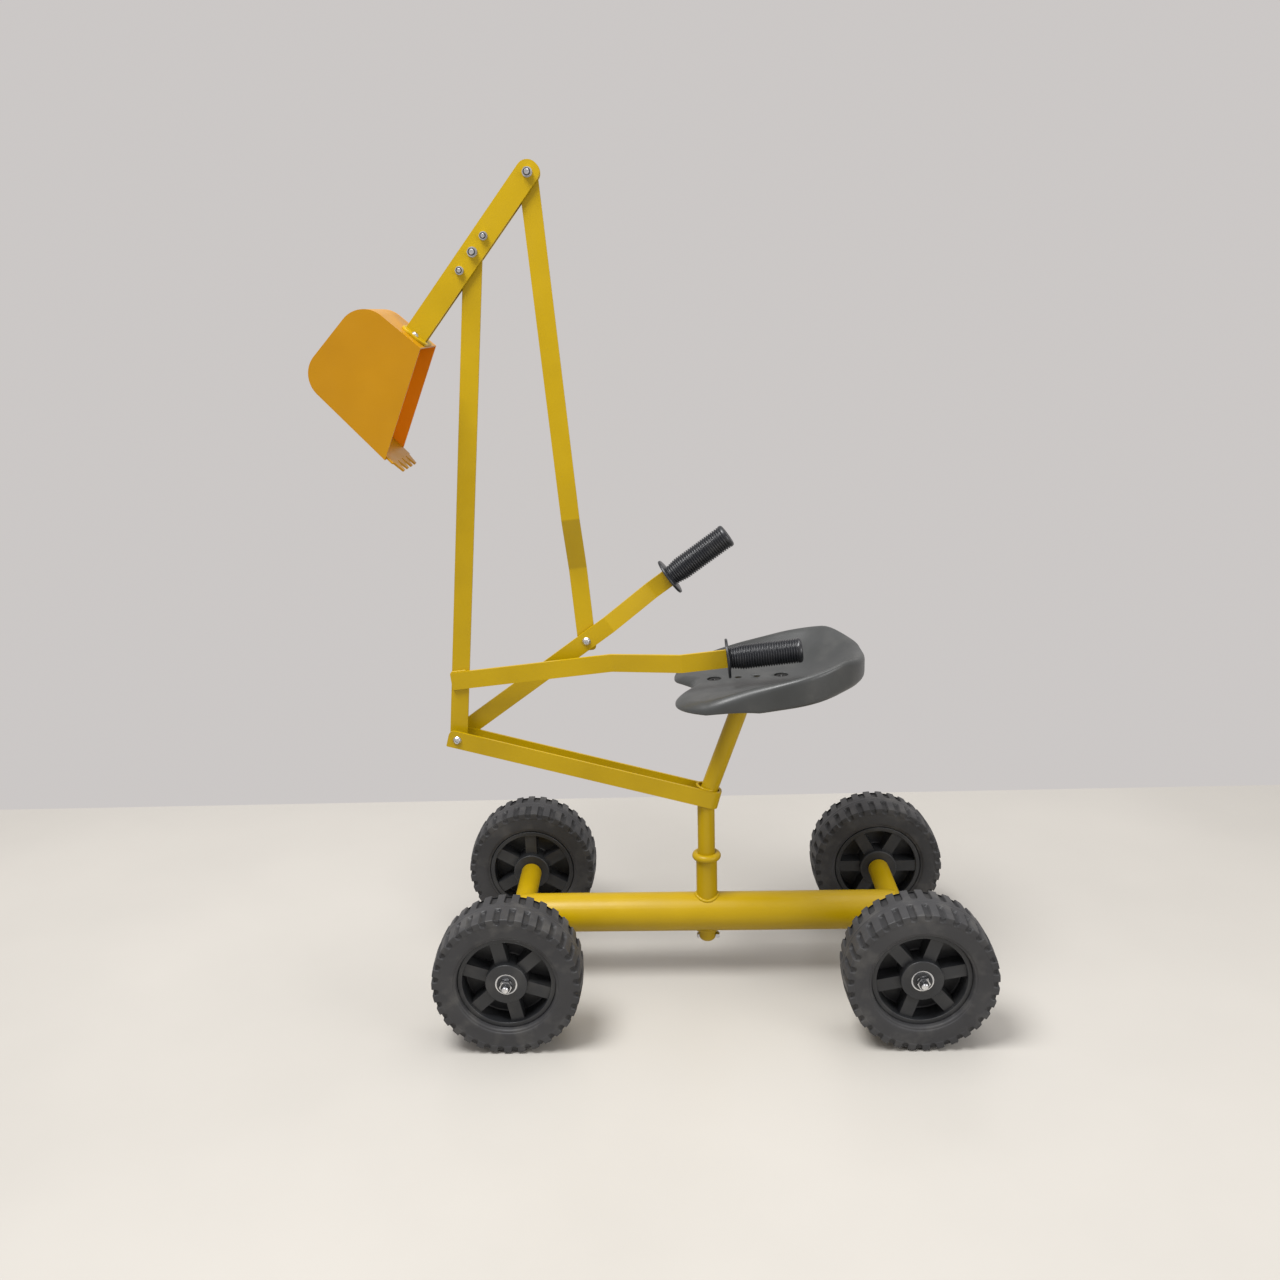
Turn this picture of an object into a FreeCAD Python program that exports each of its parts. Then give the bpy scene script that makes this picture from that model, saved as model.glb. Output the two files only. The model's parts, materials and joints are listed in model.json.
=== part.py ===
import FreeCAD, Part
import math
import os
import Sketcher
from FreeCAD import Placement, Rotation, Vector

# Ride-on digger: a child's excavator on four wheels, with a turning seat, a boom and a bucket.
# Frame: millimetres, +Z up, the ground at z = 0, the turning axis of the seat along Z through the
# origin. The bucket points to -X, the rider's left hand is at -Y.

DIMENSIONS = (
    # wheels
    ("wheel_radius", 89.0), ("shoulder_radius", 85.5), ("tyre_width", 64.3), ("tyre_inset", 2.9),
    ("hub_width", 60.7), ("hub_inner_y", 117.3), ("rim_radius", 58.5), ("rim_opening", 52.6),
    ("rim_recess", 5.5), ("boss_radius", 25.0), ("web_thickness", 4.0), ("spoke_width", 15.5),
    ("spoke_recess", 7.0), ("bearing_radius", 13.0), ("bearing_width", 8.0),
    # chassis
    ("axle_spacing", 484.8), ("axle_diameter", 10.0), ("axle_thread", 8.0), ("axle_stub", 14.0),
    ("main_tube_od", 50.0), ("main_tube_drop", 1.0), ("cross_tube_od", 28.0),
    ("cross_tube_length", 231.0), ("tube_wall", 2.0), ("plug_length", 14.0),
    ("socket_od", 27.0), ("socket_top", 162.0), ("socket_bottom", 61.5),
    # turning post
    ("post_od", 22.0), ("post_bottom", 47.0), ("post_bend_height", 247.0), ("post_lean", 20.0),
    ("post_bend_radius", 70.0), ("ring_section", 10.0), ("retaining_height", 53.5),
    # flat steel bars
    ("bar_width", 22.0), ("bar_thickness", 4.0), ("fork_thickness", 3.0), ("bend_radius", 10.0),
    ("fork_slope", -15.2), ("fork_nose", 12.0), ("fork_wrap", 3.0),
    # linkage
    ("pivot_x", -310.9), ("pivot_height", 334.7), ("boom_length", 586.0), ("boom_angle", 84.77),
    ("arm_length", 106.4), ("arm_angle", 51.3), ("lever_arm", 202.7), ("lever_angle", 35.5),
    ("rod_hole_gap", 2.2), ("lower_stop", 25.2), ("upper_stop", 21.8), ("rod_jog_start", 394.0),
    ("rod_jog_end", 458.0), ("rod_foot_margin", 13.0),
    # hand levers
    ("handle_height", 75.9), ("handle_angle", 5.75), ("left_jog_start", 190.0), ("left_jog_end", 276.0),
    ("left_jog", 40.0), ("right_jog_start", 238.0), ("right_jog_end", 304.0), ("right_jog", 19.5),
    ("hand_bar_end", 405.0), ("grip_start", 331.0), ("grip_length", 90.0),
    ("grip_neck_radius", 12.75), ("grip_tip_radius", 15.0), ("grip_flange_radius", 24.0),
    ("flange_thickness", 3.5),
    # bucket arm and bucket
    ("channel_width", 14.0), ("channel_height", 27.0), ("sheet", 2.0), ("foot_thickness", 3.0),
    ("foot_length", 34.0), ("foot_width", 52.0), ("foot_edge", 1.0), ("foot_screw_y", 17.0),
    ("bucket_x", -315.8), ("bucket_height", 815.1), ("bucket_angle", 138.7),
    ("bucket_top", 85.5), ("bucket_back", 113.6), ("bucket_mouth_drop", 126.7),
    ("bucket_mouth_reach", 44.3), ("bucket_width", 100.0), ("bucket_round", 31.0),
    ("blade_thickness", 2.5), ("blade_inside", 20.0), ("blade_lip", 9.0), ("tooth_length", 14.0),
    ("tooth_pitch", 22.5), ("tooth_root", 19.0), ("tooth_tip", 6.0),
    # seat
    ("seat_front", -37.0), ("seat_rear", 193.0), ("seat_half_width", 111.0), ("seat_notch", 21.0),
    ("seat_height", 407.0), ("seat_centre", 53.3), ("seat_pitch", 2.5), ("pan_thickness", 4.0),
    ("skirt_depth", 30.0), ("skirt_taper", 0.24), ("skirt_taper_end", 60.0), ("skirt_thickness", 5.0),
    ("seat_side_rise", 7.5), ("seat_side_least", 3.0), ("seat_side_slope", 0.225), ("seat_side_start", 18.0),
    ("seat_back_rise", 30.0), ("seat_back_start", 125.0), ("seat_front_drop", 8.0),
    ("seat_bolt_spacing", 82.5),
    ("seat_hole_spacing", 23.0), ("seat_plate_length", 104.0), ("seat_plate_width", 40.0),
    ("seat_plate_thickness", 4.0), ("seat_gap", 0.5), ("seat_bolt_lift", 1.0),
    ("seat_droop_start", 12.0), ("seat_front_round", 58.0), ("seat_rear_round", 85.0), ("seat_lobe", 40.0),
    ("seat_hollow", 12.0), ("seat_lobe_round", 28.0), ("seat_notch_round", 12.0), ("seat_hole_gap", 0.5),
    ("drain_radius", 4.5),
    # fasteners and fits
    ("pivot_bolt", 6.0), ("stop_bolt", 5.0), ("washer_thickness", 1.2), ("running_gap", 0.05),
    ("face_gap", 0.3),
)

doc = FreeCAD.newDocument("RideOnDigger")
sheet = doc.addObject("Spreadsheet::Sheet", "Dims")
for row, (alias, value) in enumerate(DIMENSIONS, start=1):
    sheet.set(f"A{row}", alias)
    sheet.set(f"B{row}", str(value))
    sheet.setAlias(f"B{row}", alias)
doc.recompute()


def dim(alias):
    """Value of one driving dimension."""
    return float(sheet.get(alias))


def along(start, angle, distance):
    """Point in the side view (x, z) at a distance from start, at an angle above +X."""
    turn = math.radians(angle)
    return (start[0] + distance * math.cos(turn), start[1] + distance * math.sin(turn))


def heading(start, end):
    """Angle above +X of the line from start to end in the side view, in degrees."""
    return math.degrees(math.atan2(end[1] - start[1], end[0] - start[0]))


FRONT_PIVOT = (dim("pivot_x"), dim("pivot_height"))
BOOM_TOP = along(FRONT_PIVOT, dim("boom_angle"), dim("boom_length"))
ARM_TOP = along(BOOM_TOP, dim("arm_angle"), dim("arm_length"))
ROD_FOOT = along(FRONT_PIVOT, dim("lever_angle"), dim("lever_arm"))
ROD_LENGTH = math.dist(ARM_TOP, ROD_FOOT)
BUCKET_CORNER = (dim("bucket_x"), dim("bucket_height"))
HALF_BAR = dim("bar_width") / 2
HALF_THICK = dim("bar_thickness") / 2
FORK_INNER = dim("post_od") / 2
FORK_OUTER = FORK_INNER + dim("fork_thickness")
LEVER_Y = FORK_OUTER + 0.5 + HALF_THICK
ROD_LOW_Y = LEVER_Y + dim("bar_thickness") + 0.5
PLATE_UNDERSIDE = dim("pan_thickness") + dim("seat_gap") + dim("seat_plate_thickness")
HOLE = "Dims.pivot_bolt / 2 + Dims.running_gap"


# ---------------------------------------------------------------- modelling helpers

def side_place(item, point, across=0.0, angle=0.0):
    """Put a piece whose length is local +X and width local Z into the side view."""
    item.Placement = Placement(Vector(point[0], across, point[1]), Rotation(Vector(0, -1, 0), angle))
    return item


def axis_place(item, point, across, towards):
    """Put a piece whose axis is local Z at a point, with that axis along the given direction."""
    item.Placement = Placement(Vector(point[0], across, point[1]), Rotation(Vector(0, 0, 1), towards))
    return item


def new_body(label):
    body = doc.addObject("PartDesign::Body", label)
    body.Label = label
    return body


def new_sketch(body, role, height=0.0):
    """Sketch on one of the body's own origin planes, moved along the plane's normal."""
    sketch = body.newObject("Sketcher::SketchObject", body.Name + "_sketch")
    plane = next(item for item in body.Origin.OriginFeatures if item.Role == role)
    sketch.AttachmentSupport = [(plane, "")]
    sketch.MapMode = "FlatFace"
    sketch.AttachmentOffset = Placement(Vector(0, 0, height), Rotation())
    return sketch


def add_circle(sketch, x, y, radius):
    """Circle whose radius is an expression of the driving dimensions."""
    value = float(sketch.evalExpression(radius))
    index = sketch.addGeometry(Part.Circle(Vector(x, y, 0), Vector(0, 0, 1), value), False)
    constraint = sketch.addConstraint(Sketcher.Constraint("Radius", index, value))
    sketch.setExpression(f"Constraints[{constraint}]", radius)


def add_outline(sketch, corners):
    """Closed outline through (x, y, radius) corners, with a tangent arc at each round one."""
    pieces = []
    count = len(corners)
    points = [Vector(x, y, 0) for x, y, _ in corners]
    for index, (_, _, radius) in enumerate(corners):
        here = points[index]
        back = (points[index - 1] - here).normalize()
        ahead = (points[(index + 1) % count] - here).normalize()
        half = back.getAngle(ahead) / 2
        reach = radius / math.tan(half)
        middle = here
        if radius > 0:
            middle = here + (back + ahead).normalize() * (radius / math.sin(half) - radius)
        pieces.append((here + back * reach, middle, here + ahead * reach, radius))
    for index, (start, middle, end, radius) in enumerate(pieces):
        if radius > 0:
            sketch.addGeometry(Part.ArcOfCircle(start, middle, end), False)
        following = pieces[(index + 1) % count][0]
        if end.distanceToPoint(following) > 1e-6:
            sketch.addGeometry(Part.LineSegment(end, following), False)


def shifted(path, shift):
    """Corners (x, y, radius) of a path moved to its left by shift, its bends kept concentric."""
    points = [Vector(x, y, 0) for x, y, _ in path]
    steps = [(points[i + 1] - points[i]).normalize() for i in range(len(points) - 1)]
    corners = []
    for index, (x, y, radius) in enumerate(path):
        before = steps[max(index - 1, 0)]
        after = steps[min(index, len(steps) - 1)]
        left_before = Vector(-before.y, before.x, 0)
        left_after = Vector(-after.y, after.x, 0)
        move = (left_before + left_after) * (shift / (1 + before.dot(after)))
        turn = before.cross(after).z
        if abs(turn) > 1e-6:
            radius -= math.copysign(shift, turn)
        corners.append((x + move.x, y + move.y, max(radius, 0.0)))
    return corners


def strip(path, left, right):
    """Closed outline of a strip that reaches left and right of a path."""
    return shifted(path, left) + shifted(path, -right)[::-1]


def pad(body, sketch, length, symmetric=True, reverse=False):
    feature = body.newObject("PartDesign::Pad", body.Name + "_pad")
    feature.Profile = sketch
    feature.SideType = "Symmetric" if symmetric else "One side"
    feature.Reversed = reverse
    feature.setExpression("Length", length)
    return feature


def pocket(body, sketch, length, symmetric=True, reverse=False):
    """Pocket that is sure to remove material."""
    doc.recompute()
    before = body.Shape.Volume
    feature = body.newObject("PartDesign::Pocket", body.Name + "_pocket")
    feature.Profile = sketch
    feature.SideType = "Symmetric" if symmetric else "One side"
    feature.Reversed = reverse
    feature.setExpression("Length", length)
    doc.recompute()
    if body.Shape.Volume > before - 1e-3:
        raise ValueError(f"{feature.Label} cuts nothing")
    return feature


def turned(label, corners):
    """Body of revolution about local Z from (radius, height, corner radius) points."""
    body = new_body(label)
    sketch = new_sketch(body, "XZ_Plane")
    add_outline(sketch, corners)
    feature = body.newObject("PartDesign::Revolution", label + "_turn")
    feature.Profile = sketch
    feature.ReferenceAxis = (sketch, ["V_Axis"])
    feature.Angle = 360
    return body


def cylinder(label, radius, height, placement):
    item = doc.addObject("Part::Cylinder", label)
    item.setExpression("Radius", radius)
    item.setExpression("Height", height)
    item.Placement = placement
    return item


def box(label, length, width, height, placement):
    item = doc.addObject("Part::Box", label)
    item.Length, item.Width, item.Height = length, width, height
    item.Placement = placement
    return item


def cut(label, base, tool):
    item = doc.addObject("Part::Cut", label)
    item.Base, item.Tool = base, tool
    return item


def common(label, base, tool):
    item = doc.addObject("Part::Common", label)
    item.Base, item.Tool = base, tool
    return item


def group(label, members):
    item = doc.addObject("Part::Compound", label)
    item.Links = members
    return item


def tube(label, outer, length, placement):
    """Round tube of the common wall thickness, along local Z of its placement."""
    shell = cylinder(label + "_outside", outer, length, placement)
    bore = cylinder(label + "_bore", outer + " - Dims.tube_wall", length, placement)
    return cut(label, shell, bore)


# ---------------------------------------------------------------- fasteners

def button_bolt(label, size, reach):
    """Button-head bolt: the head on +Z, its seat at z = 0, the shank down to -reach."""
    radius = dim(size) / 2
    head, tall = 1.75 * radius, 1.1 * radius
    body = turned(label, [
        (0, -reach, 0), (radius - 0.5, -reach, 0), (radius, 0.5 - reach, 0), (radius, 0, 0),
        (head, 0, 0), (head, 0.3 * radius, 0.2), (0.62 * head, tall, 0.8), (0, tall, 0)])
    sketch = new_sketch(body, "XY_Plane", tall)
    across = 0.66 * radius
    corner = across / math.cos(math.radians(30))
    add_outline(sketch, [
        (corner * math.cos(math.radians(60 * k)), corner * math.sin(math.radians(60 * k)), 0)
        for k in range(6)])
    pocket(body, sketch, f"Dims.{size} * 0.3", symmetric=False)
    return body


def lock_nut(label, size):
    """Hexagon nut with a round nylon collar, its seat at z = 0, round a thread of that size."""
    size_value = dim(size)
    flat, tall = 0.82 * size_value, 0.75 * size_value
    body = new_body(label)
    sketch = new_sketch(body, "XY_Plane")
    corner = flat / math.cos(math.radians(30))
    add_outline(sketch, [
        (corner * math.cos(math.radians(60 * k)), corner * math.sin(math.radians(60 * k)), 0)
        for k in range(6)])
    add_circle(sketch, 0, 0, f"Dims.{size} / 2")
    pad(body, sketch, f"Dims.{size} * 0.75", symmetric=False)
    collar = new_sketch(body, "XY_Plane", tall)
    add_circle(collar, 0, 0, f"Dims.{size} * 0.68")
    add_circle(collar, 0, 0, f"Dims.{size} / 2")
    pad(body, collar, f"Dims.{size} * 0.22", symmetric=False)
    return body


def washer(label, bore, outer):
    """Flat washer on z = 0, with its radii as expressions."""
    body = new_body(label)
    sketch = new_sketch(body, "XY_Plane")
    add_circle(sketch, 0, 0, outer)
    add_circle(sketch, 0, 0, bore)
    pad(body, sketch, "Dims.washer_thickness", symmetric=False)
    return body


NEAR, FAR = Vector(0, -1, 0), Vector(0, 1, 0)


# ---------------------------------------------------------------- chassis

CORNERS = {
    "front_left": (-1, NEAR, 102.0), "rear_left": (1, NEAR, 71.0),
    "front_right": (-1, FAR, 90.0), "rear_right": (1, FAR, 0.0),
}


def axle_point(end):
    """Centre of the front (-1) or rear (1) axle in the side view."""
    return (end * dim("axle_spacing") / 2, dim("wheel_radius"))


def main_tube():
    half = dim("axle_spacing") / 2
    height = dim("wheel_radius") - dim("main_tube_drop")
    lying = Rotation(Vector(0, 1, 0), 90)
    plain = tube("main_tube_plain", "Dims.main_tube_od / 2", "Dims.axle_spacing",
                 Placement(Vector(-half, 0, height), lying))
    tools = [cylinder("main_tube_socket_hole", "Dims.socket_od / 2", "Dims.socket_top", Placement())]
    for end, name in ((-1, "front"), (1, "rear")):
        x, z = axle_point(end)
        tools.append(cylinder(
            f"main_tube_{name}_cope", "Dims.cross_tube_od / 2", "Dims.cross_tube_length",
            Placement(Vector(x, -dim("cross_tube_length") / 2, z), Rotation(Vector(1, 0, 0), -90))))
    return cut("main_tube", plain, group("main_tube_openings", tools))


def cross_tube(name, end):
    x, z = axle_point(end)
    return tube(f"{name}_cross_tube", "Dims.cross_tube_od / 2", "Dims.cross_tube_length",
                Placement(Vector(x, -dim("cross_tube_length") / 2, z), Rotation(Vector(1, 0, 0), -90)))


def cross_tube_plugs():
    """A turned plug in each end of the cross tubes, which holds the axle on the tube's axis."""
    bore, inside = dim("axle_diameter") / 2, dim("cross_tube_od") / 2 - dim("tube_wall")
    plugs = []
    for corner, (end, towards, _) in CORNERS.items():
        plug = turned(f"plug_{corner}", [
            (bore, -dim("plug_length"), 0), (inside, -dim("plug_length"), 0), (inside, -0.6, 0),
            (inside - 0.6, 0, 0), (bore, 0, 0)])
        plugs.append(axis_place(plug, axle_point(end), towards.y * dim("cross_tube_length") / 2, towards))
    return group("cross_tube_plugs", plugs)


def axle(name, end):
    """Round axle with a turned-down thread at both ends."""
    face = dim("hub_inner_y") + dim("hub_width") + dim("face_gap")
    tip = face + dim("axle_stub")
    radius, thread = dim("axle_diameter") / 2, dim("axle_thread") / 2
    body = turned(f"{name}_axle", [
        (0, -tip, 0), (thread - 0.8, -tip, 0), (thread, 0.8 - tip, 0), (thread, -face, 0),
        (radius, -face, 0), (radius, face, 0), (thread, face, 0), (thread, tip - 0.8, 0),
        (thread - 0.8, tip, 0), (0, tip, 0)])
    return axis_place(body, axle_point(end), 0, FAR)


def axle_washers():
    """An inner and an outer washer at each wheel, clear of the turning hub."""
    washers = []
    outer_y = dim("hub_inner_y") + dim("hub_width") + dim("face_gap")
    inner_y = dim("cross_tube_length") / 2
    for corner, (end, towards, _) in CORNERS.items():
        inner = washer(f"inner_washer_{corner}", "Dims.axle_diameter / 2", "Dims.axle_diameter")
        outer = washer(f"outer_washer_{corner}", "Dims.axle_thread / 2", "Dims.axle_thread")
        washers.append(axis_place(inner, axle_point(end), towards.y * inner_y, towards))
        washers.append(axis_place(outer, axle_point(end), towards.y * outer_y, towards))
    return group("axle_washers", washers)


def axle_nuts():
    nuts = []
    seat = dim("hub_inner_y") + dim("hub_width") + dim("face_gap") + dim("washer_thickness")
    for corner, (end, towards, _) in CORNERS.items():
        nut = lock_nut(f"axle_nut_{corner}", "axle_thread")
        nuts.append(axis_place(nut, axle_point(end), towards.y * seat, towards))
    return group("axle_nuts", nuts)


def socket_tube():
    """Upright sleeve welded through the main tube; the seat post turns in it."""
    foot = Placement(Vector(0, 0, dim("socket_bottom")), Rotation())
    length = "Dims.socket_top - Dims.socket_bottom"
    shell = cylinder("socket_outside", "Dims.socket_od / 2", length, foot)
    bore = cylinder("socket_bore", "Dims.post_od / 2 + Dims.running_gap", length, foot)
    return cut("socket_tube", shell, bore)


# ---------------------------------------------------------------- wheels

def tyre(corner):
    """Chunky tyre: a crowned tread between two flat sidewalls, seated on the rim."""
    low, high = dim("tyre_inset"), dim("tyre_inset") + dim("tyre_width")
    inner, crown, shoulder = dim("rim_radius"), dim("wheel_radius"), dim("shoulder_radius")
    return turned(f"tyre_{corner}", [
        (inner, low + 6, 1.5), (inner + 12, low, 4), (shoulder - 6, low, 5), (shoulder, low + 5, 3),
        (crown, low + 22, 8), (crown, high - 22, 8), (shoulder, high - 5, 3), (shoulder - 6, high, 5),
        (inner + 12, high, 4), (inner, high - 6, 1.5)])


def rim(corner):
    """Moulded rim: outer ring, middle web, long hub boss and six deep spokes on both faces."""
    width, middle = dim("hub_width"), dim("hub_width") / 2
    ring_low, ring_high = dim("rim_recess"), dim("hub_width") - dim("rim_recess") + 3
    ring, opening, boss = dim("rim_radius"), dim("rim_opening"), dim("boss_radius")
    web = dim("web_thickness") / 2
    bearing, depth = dim("bearing_radius"), dim("bearing_width")
    throat = bearing - 2
    body = turned(f"rim_{corner}", [
        (throat, depth, 0), (bearing, depth, 0), (bearing, 0, 0), (boss, 0, 1.5),
        (boss, middle - web, 2), (opening, middle - web, 2), (opening, ring_low, 1),
        (ring, ring_low, 1), (ring, ring_high, 1), (opening, ring_high, 1),
        (opening, middle + web, 2), (boss, middle + web, 2), (boss, width, 1.5),
        (bearing, width, 0), (bearing, width - depth, 0), (throat, width - depth, 0)])
    sketch = new_sketch(body, "XY_Plane", middle)
    half = dim("spoke_width") / 2
    add_outline(sketch, [(boss - 3, -half, 0), (opening + 1, -half, 0),
                         (opening + 1, half, 0), (boss - 3, half, 0)])
    spoke = pad(body, sketch, "Dims.hub_width - 2 * Dims.spoke_recess")
    doc.recompute()
    pattern = body.newObject("PartDesign::PolarPattern", f"rim_{corner}_spokes")
    pattern.Originals = [spoke]
    pattern.Axis = (next(i for i in body.Origin.OriginFeatures if i.Role == "Z_Axis"), [""])
    pattern.Angle = 360
    pattern.Occurrences = 6
    body.Tip = pattern
    return body


def wheel_bearings(corner):
    """Inner and outer ball bearing of one hub, each a ring with a shield groove."""
    inner, outer = dim("axle_diameter") / 2 + dim("running_gap"), dim("bearing_radius")
    width = dim("bearing_width")
    rings = []
    for index, (height, turn) in enumerate(((width, 180), (dim("hub_width") - width, 0))):
        ring = turned(f"bearing_{corner}_{index}", [
            (inner, 0, 0), (outer, 0, 0), (outer, width, 0), (outer - 2, width, 0),
            (outer - 2.3, width - 0.7, 0), (inner + 2.3, width - 0.7, 0), (inner + 2, width, 0),
            (inner, width, 0)])
        ring.Placement = Placement(Vector(0, 0, height), Rotation(Vector(1, 0, 0), turn))
        rings.append(ring)
    return group(f"bearings_{corner}", rings)


def wheel(corner):
    """The three pieces of one wheel, its spokes turned to their own angle."""
    end, towards, phase = CORNERS[corner]
    x, z = axle_point(end)
    spin = Rotation(Vector(0, -1, 0), phase)
    stand = Rotation(Vector(1, 0, 0), -90 * towards.y)
    pieces = [tyre(corner), rim(corner), wheel_bearings(corner)]
    for piece in pieces:
        piece.Placement = Placement(Vector(x, towards.y * dim("hub_inner_y"), z), spin * stand)
    return pieces


# ---------------------------------------------------------------- turning upper frame

def post_rod(label, radius, bottom, top):
    """Solid rod along the post's bent centre line, from one height to another."""
    body = new_body(label)
    profile = new_sketch(body, "XY_Plane", bottom)
    add_circle(profile, 0, 0, radius)
    spine = new_sketch(body, "XZ_Plane")
    lean = math.radians(dim("post_lean"))
    bend, turn = dim("post_bend_height"), dim("post_bend_radius")
    reach = turn * math.tan(lean / 2)
    start = Vector(0, bend - reach, 0)
    end = Vector(reach * math.sin(lean), bend + reach * math.cos(lean), 0)
    middle = Vector(turn * (1 - math.cos(lean / 2)), bend - reach + turn * math.sin(lean / 2), 0)
    tip = Vector((top - bend) * math.tan(lean), top, 0)
    spine.addGeometry(Part.LineSegment(Vector(0, bottom, 0), start), False)
    spine.addGeometry(Part.ArcOfCircle(start, middle, end), False)
    spine.addGeometry(Part.LineSegment(end, tip), False)
    pipe = body.newObject("PartDesign::AdditivePipe", label + "_pipe")
    pipe.Profile = profile
    pipe.Spine = (spine, ["Edge1", "Edge2", "Edge3"])
    return body


def post_outside():
    """Outer surface of the post, with its lower end rounded to a dome."""
    body = post_rod("post_outside", "Dims.post_od / 2", dim("post_bottom"), dim("seat_height") + 20)
    doc.recompute()
    edges = [f"Edge{index}" for index, edge in enumerate(body.Shape.Edges, start=1)
             if abs(edge.CenterOfMass.z - dim("post_bottom")) < 0.1]
    pipe = body.Tip
    dome = body.newObject("PartDesign::Fillet", "post_dome")
    dome.Base = (pipe, edges)
    dome.Radius = dim("post_od") / 2 - 4
    return body


def seat_plane(depth):
    """Placement of the seat's sloping base plane, a depth below the pan's upper face."""
    surface = Placement(Vector(dim("seat_centre"), 0, dim("seat_height")),
                        Rotation(Vector(0, -1, 0), dim("seat_pitch")))
    return surface * Placement(Vector(0, 0, -depth), Rotation())


def seat_post(outside):
    """Bent tube, closed at the foot, drilled for its cross bolt and cut off under the seat plate."""
    bore = post_rod("post_bore", "Dims.post_od / 2 - Dims.tube_wall",
                    dim("retaining_height") + 12, dim("seat_height") + 30)
    drill = cylinder("post_drill", "Dims.stop_bolt / 2", "Dims.post_od * 2",
                     Placement(Vector(-dim("post_od"), 0, dim("retaining_height")),
                               Rotation(Vector(0, 1, 0), 90)))
    plane = seat_plane(PLATE_UNDERSIDE)
    above = box("post_trim", 160, 160, 80, plane * Placement(Vector(-80, -80, 0), Rotation()))
    return cut("seat_post", outside, group("post_openings", [bore, drill, above]))


def thrust_ring(outside):
    """Round-section ring welded on the post; it rides on the top of the socket tube."""
    ring = doc.addObject("Part::Torus", "thrust_ring_round")
    ring.setExpression("Radius1", "Dims.socket_od / 2")
    ring.setExpression("Radius2", "Dims.ring_section / 2")
    height = dim("socket_top") + dim("face_gap") + dim("ring_section") / 2
    ring.Placement = Placement(Vector(0, 0, height), Rotation())
    return cut("thrust_ring", ring, outside)


def retaining_fasteners():
    """Cross bolt and nut through the post's foot, which keep the post from lifting out."""
    edge = dim("post_od") / 2
    bolt = button_bolt("retaining_bolt", "stop_bolt", 2 * edge + dim("stop_bolt"))
    axis_place(bolt, (-edge, dim("retaining_height")), 0, Vector(-1, 0, 0))
    nut = lock_nut("retaining_nut", "stop_bolt")
    axis_place(nut, (edge, dim("retaining_height")), 0, Vector(1, 0, 0))
    return [bolt, nut]


def base_arm(outside):
    """Hairpin of flat bar bent round the post; its two free ends hold the front pivot."""
    span = math.hypot(dim("pivot_x"), dim("pivot_height") - dim("post_bend_height"))
    radius = FORK_INNER + dim("fork_thickness") / 2
    nose, wrap = -dim("fork_nose"), span + dim("fork_wrap") + radius
    arm = new_body("base_arm_bar")
    sketch = new_sketch(arm, "XY_Plane")
    centre_line = [(nose, -radius, 0), (wrap, -radius, radius), (wrap, radius, radius), (nose, radius, 0)]
    half = dim("fork_thickness") / 2
    add_outline(sketch, strip(centre_line, half, half))
    pad(arm, sketch, "Dims.bar_width")
    trim = new_body("base_arm_outline")
    side = new_sketch(trim, "XZ_Plane")
    add_outline(side, [(nose, -HALF_BAR, 1.5), (wrap + 10, -HALF_BAR, 0), (wrap + 10, HALF_BAR, 0),
                       (nose, HALF_BAR, 7)])
    add_circle(side, 0, 0, "Dims.pivot_bolt / 2")
    pad(trim, side, "Dims.post_od * 2")
    placed = side_place(common("base_arm_placed", arm, trim), FRONT_PIVOT, 0, dim("fork_slope"))
    return cut("base_arm", placed, outside)


def front_pivot():
    """Bolt of the front pivot with its washer, lock nut and the two spacers in the fork."""
    seat = LEVER_Y + HALF_THICK + dim("face_gap")
    reach = FORK_OUTER + seat + dim("washer_thickness") + dim("pivot_bolt") * 1.1
    bolt = axis_place(button_bolt("front_pivot_bolt", "pivot_bolt", reach), FRONT_PIVOT, -FORK_OUTER, NEAR)
    ring = axis_place(washer("front_pivot_washer", "Dims.pivot_bolt / 2", "Dims.pivot_bolt"),
                      FRONT_PIVOT, seat, FAR)
    nut = axis_place(lock_nut("front_pivot_nut", "pivot_bolt"), FRONT_PIVOT,
                     seat + dim("washer_thickness"), FAR)
    spacers = []
    inner = HALF_THICK + dim("face_gap")
    for side, towards in (("left", NEAR), ("right", FAR)):
        spacer = turned(f"spacer_{side}", [
            (dim("pivot_bolt") / 2, inner, 0), (dim("pivot_bolt"), inner, 0.5),
            (dim("pivot_bolt"), FORK_INNER, 0.5), (dim("pivot_bolt") / 2, FORK_INNER, 0)])
        spacers.append(axis_place(spacer, FRONT_PIVOT, 0, towards))
    return [bolt, ring, nut, group("fork_spacers", spacers)]


# ---------------------------------------------------------------- seat

def pan_height(x, y):
    """Height of the pan's upper face: sides that rise rearwards, a raised back, a lowered front."""
    rear, front, start = dim("seat_rear"), dim("seat_droop_start"), dim("seat_back_start")
    height = dim("seat_height") + (x - dim("seat_centre")) * math.tan(math.radians(dim("seat_pitch")))
    side = max(dim("seat_side_rise") + dim("seat_side_slope") * (x - dim("seat_side_start")),
               dim("seat_side_least"))
    height += side * min(abs(y) / dim("seat_half_width"), 1.2) ** 2.5
    height += dim("seat_back_rise") * max((x - start) / (rear - start), 0.0) ** 1.5
    if x < front:
        height -= dim("seat_front_drop") * ((front - x) / (front - dim("seat_front"))) ** 2
    return height


def skirt_foot(x, y):
    """Height of the skirt's lower edge; the skirt gets shallower towards the front lobes."""
    return pan_height(x, y) - dim("skirt_depth") + dim("skirt_taper") * max(dim("skirt_taper_end") - x, 0.0)


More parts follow.
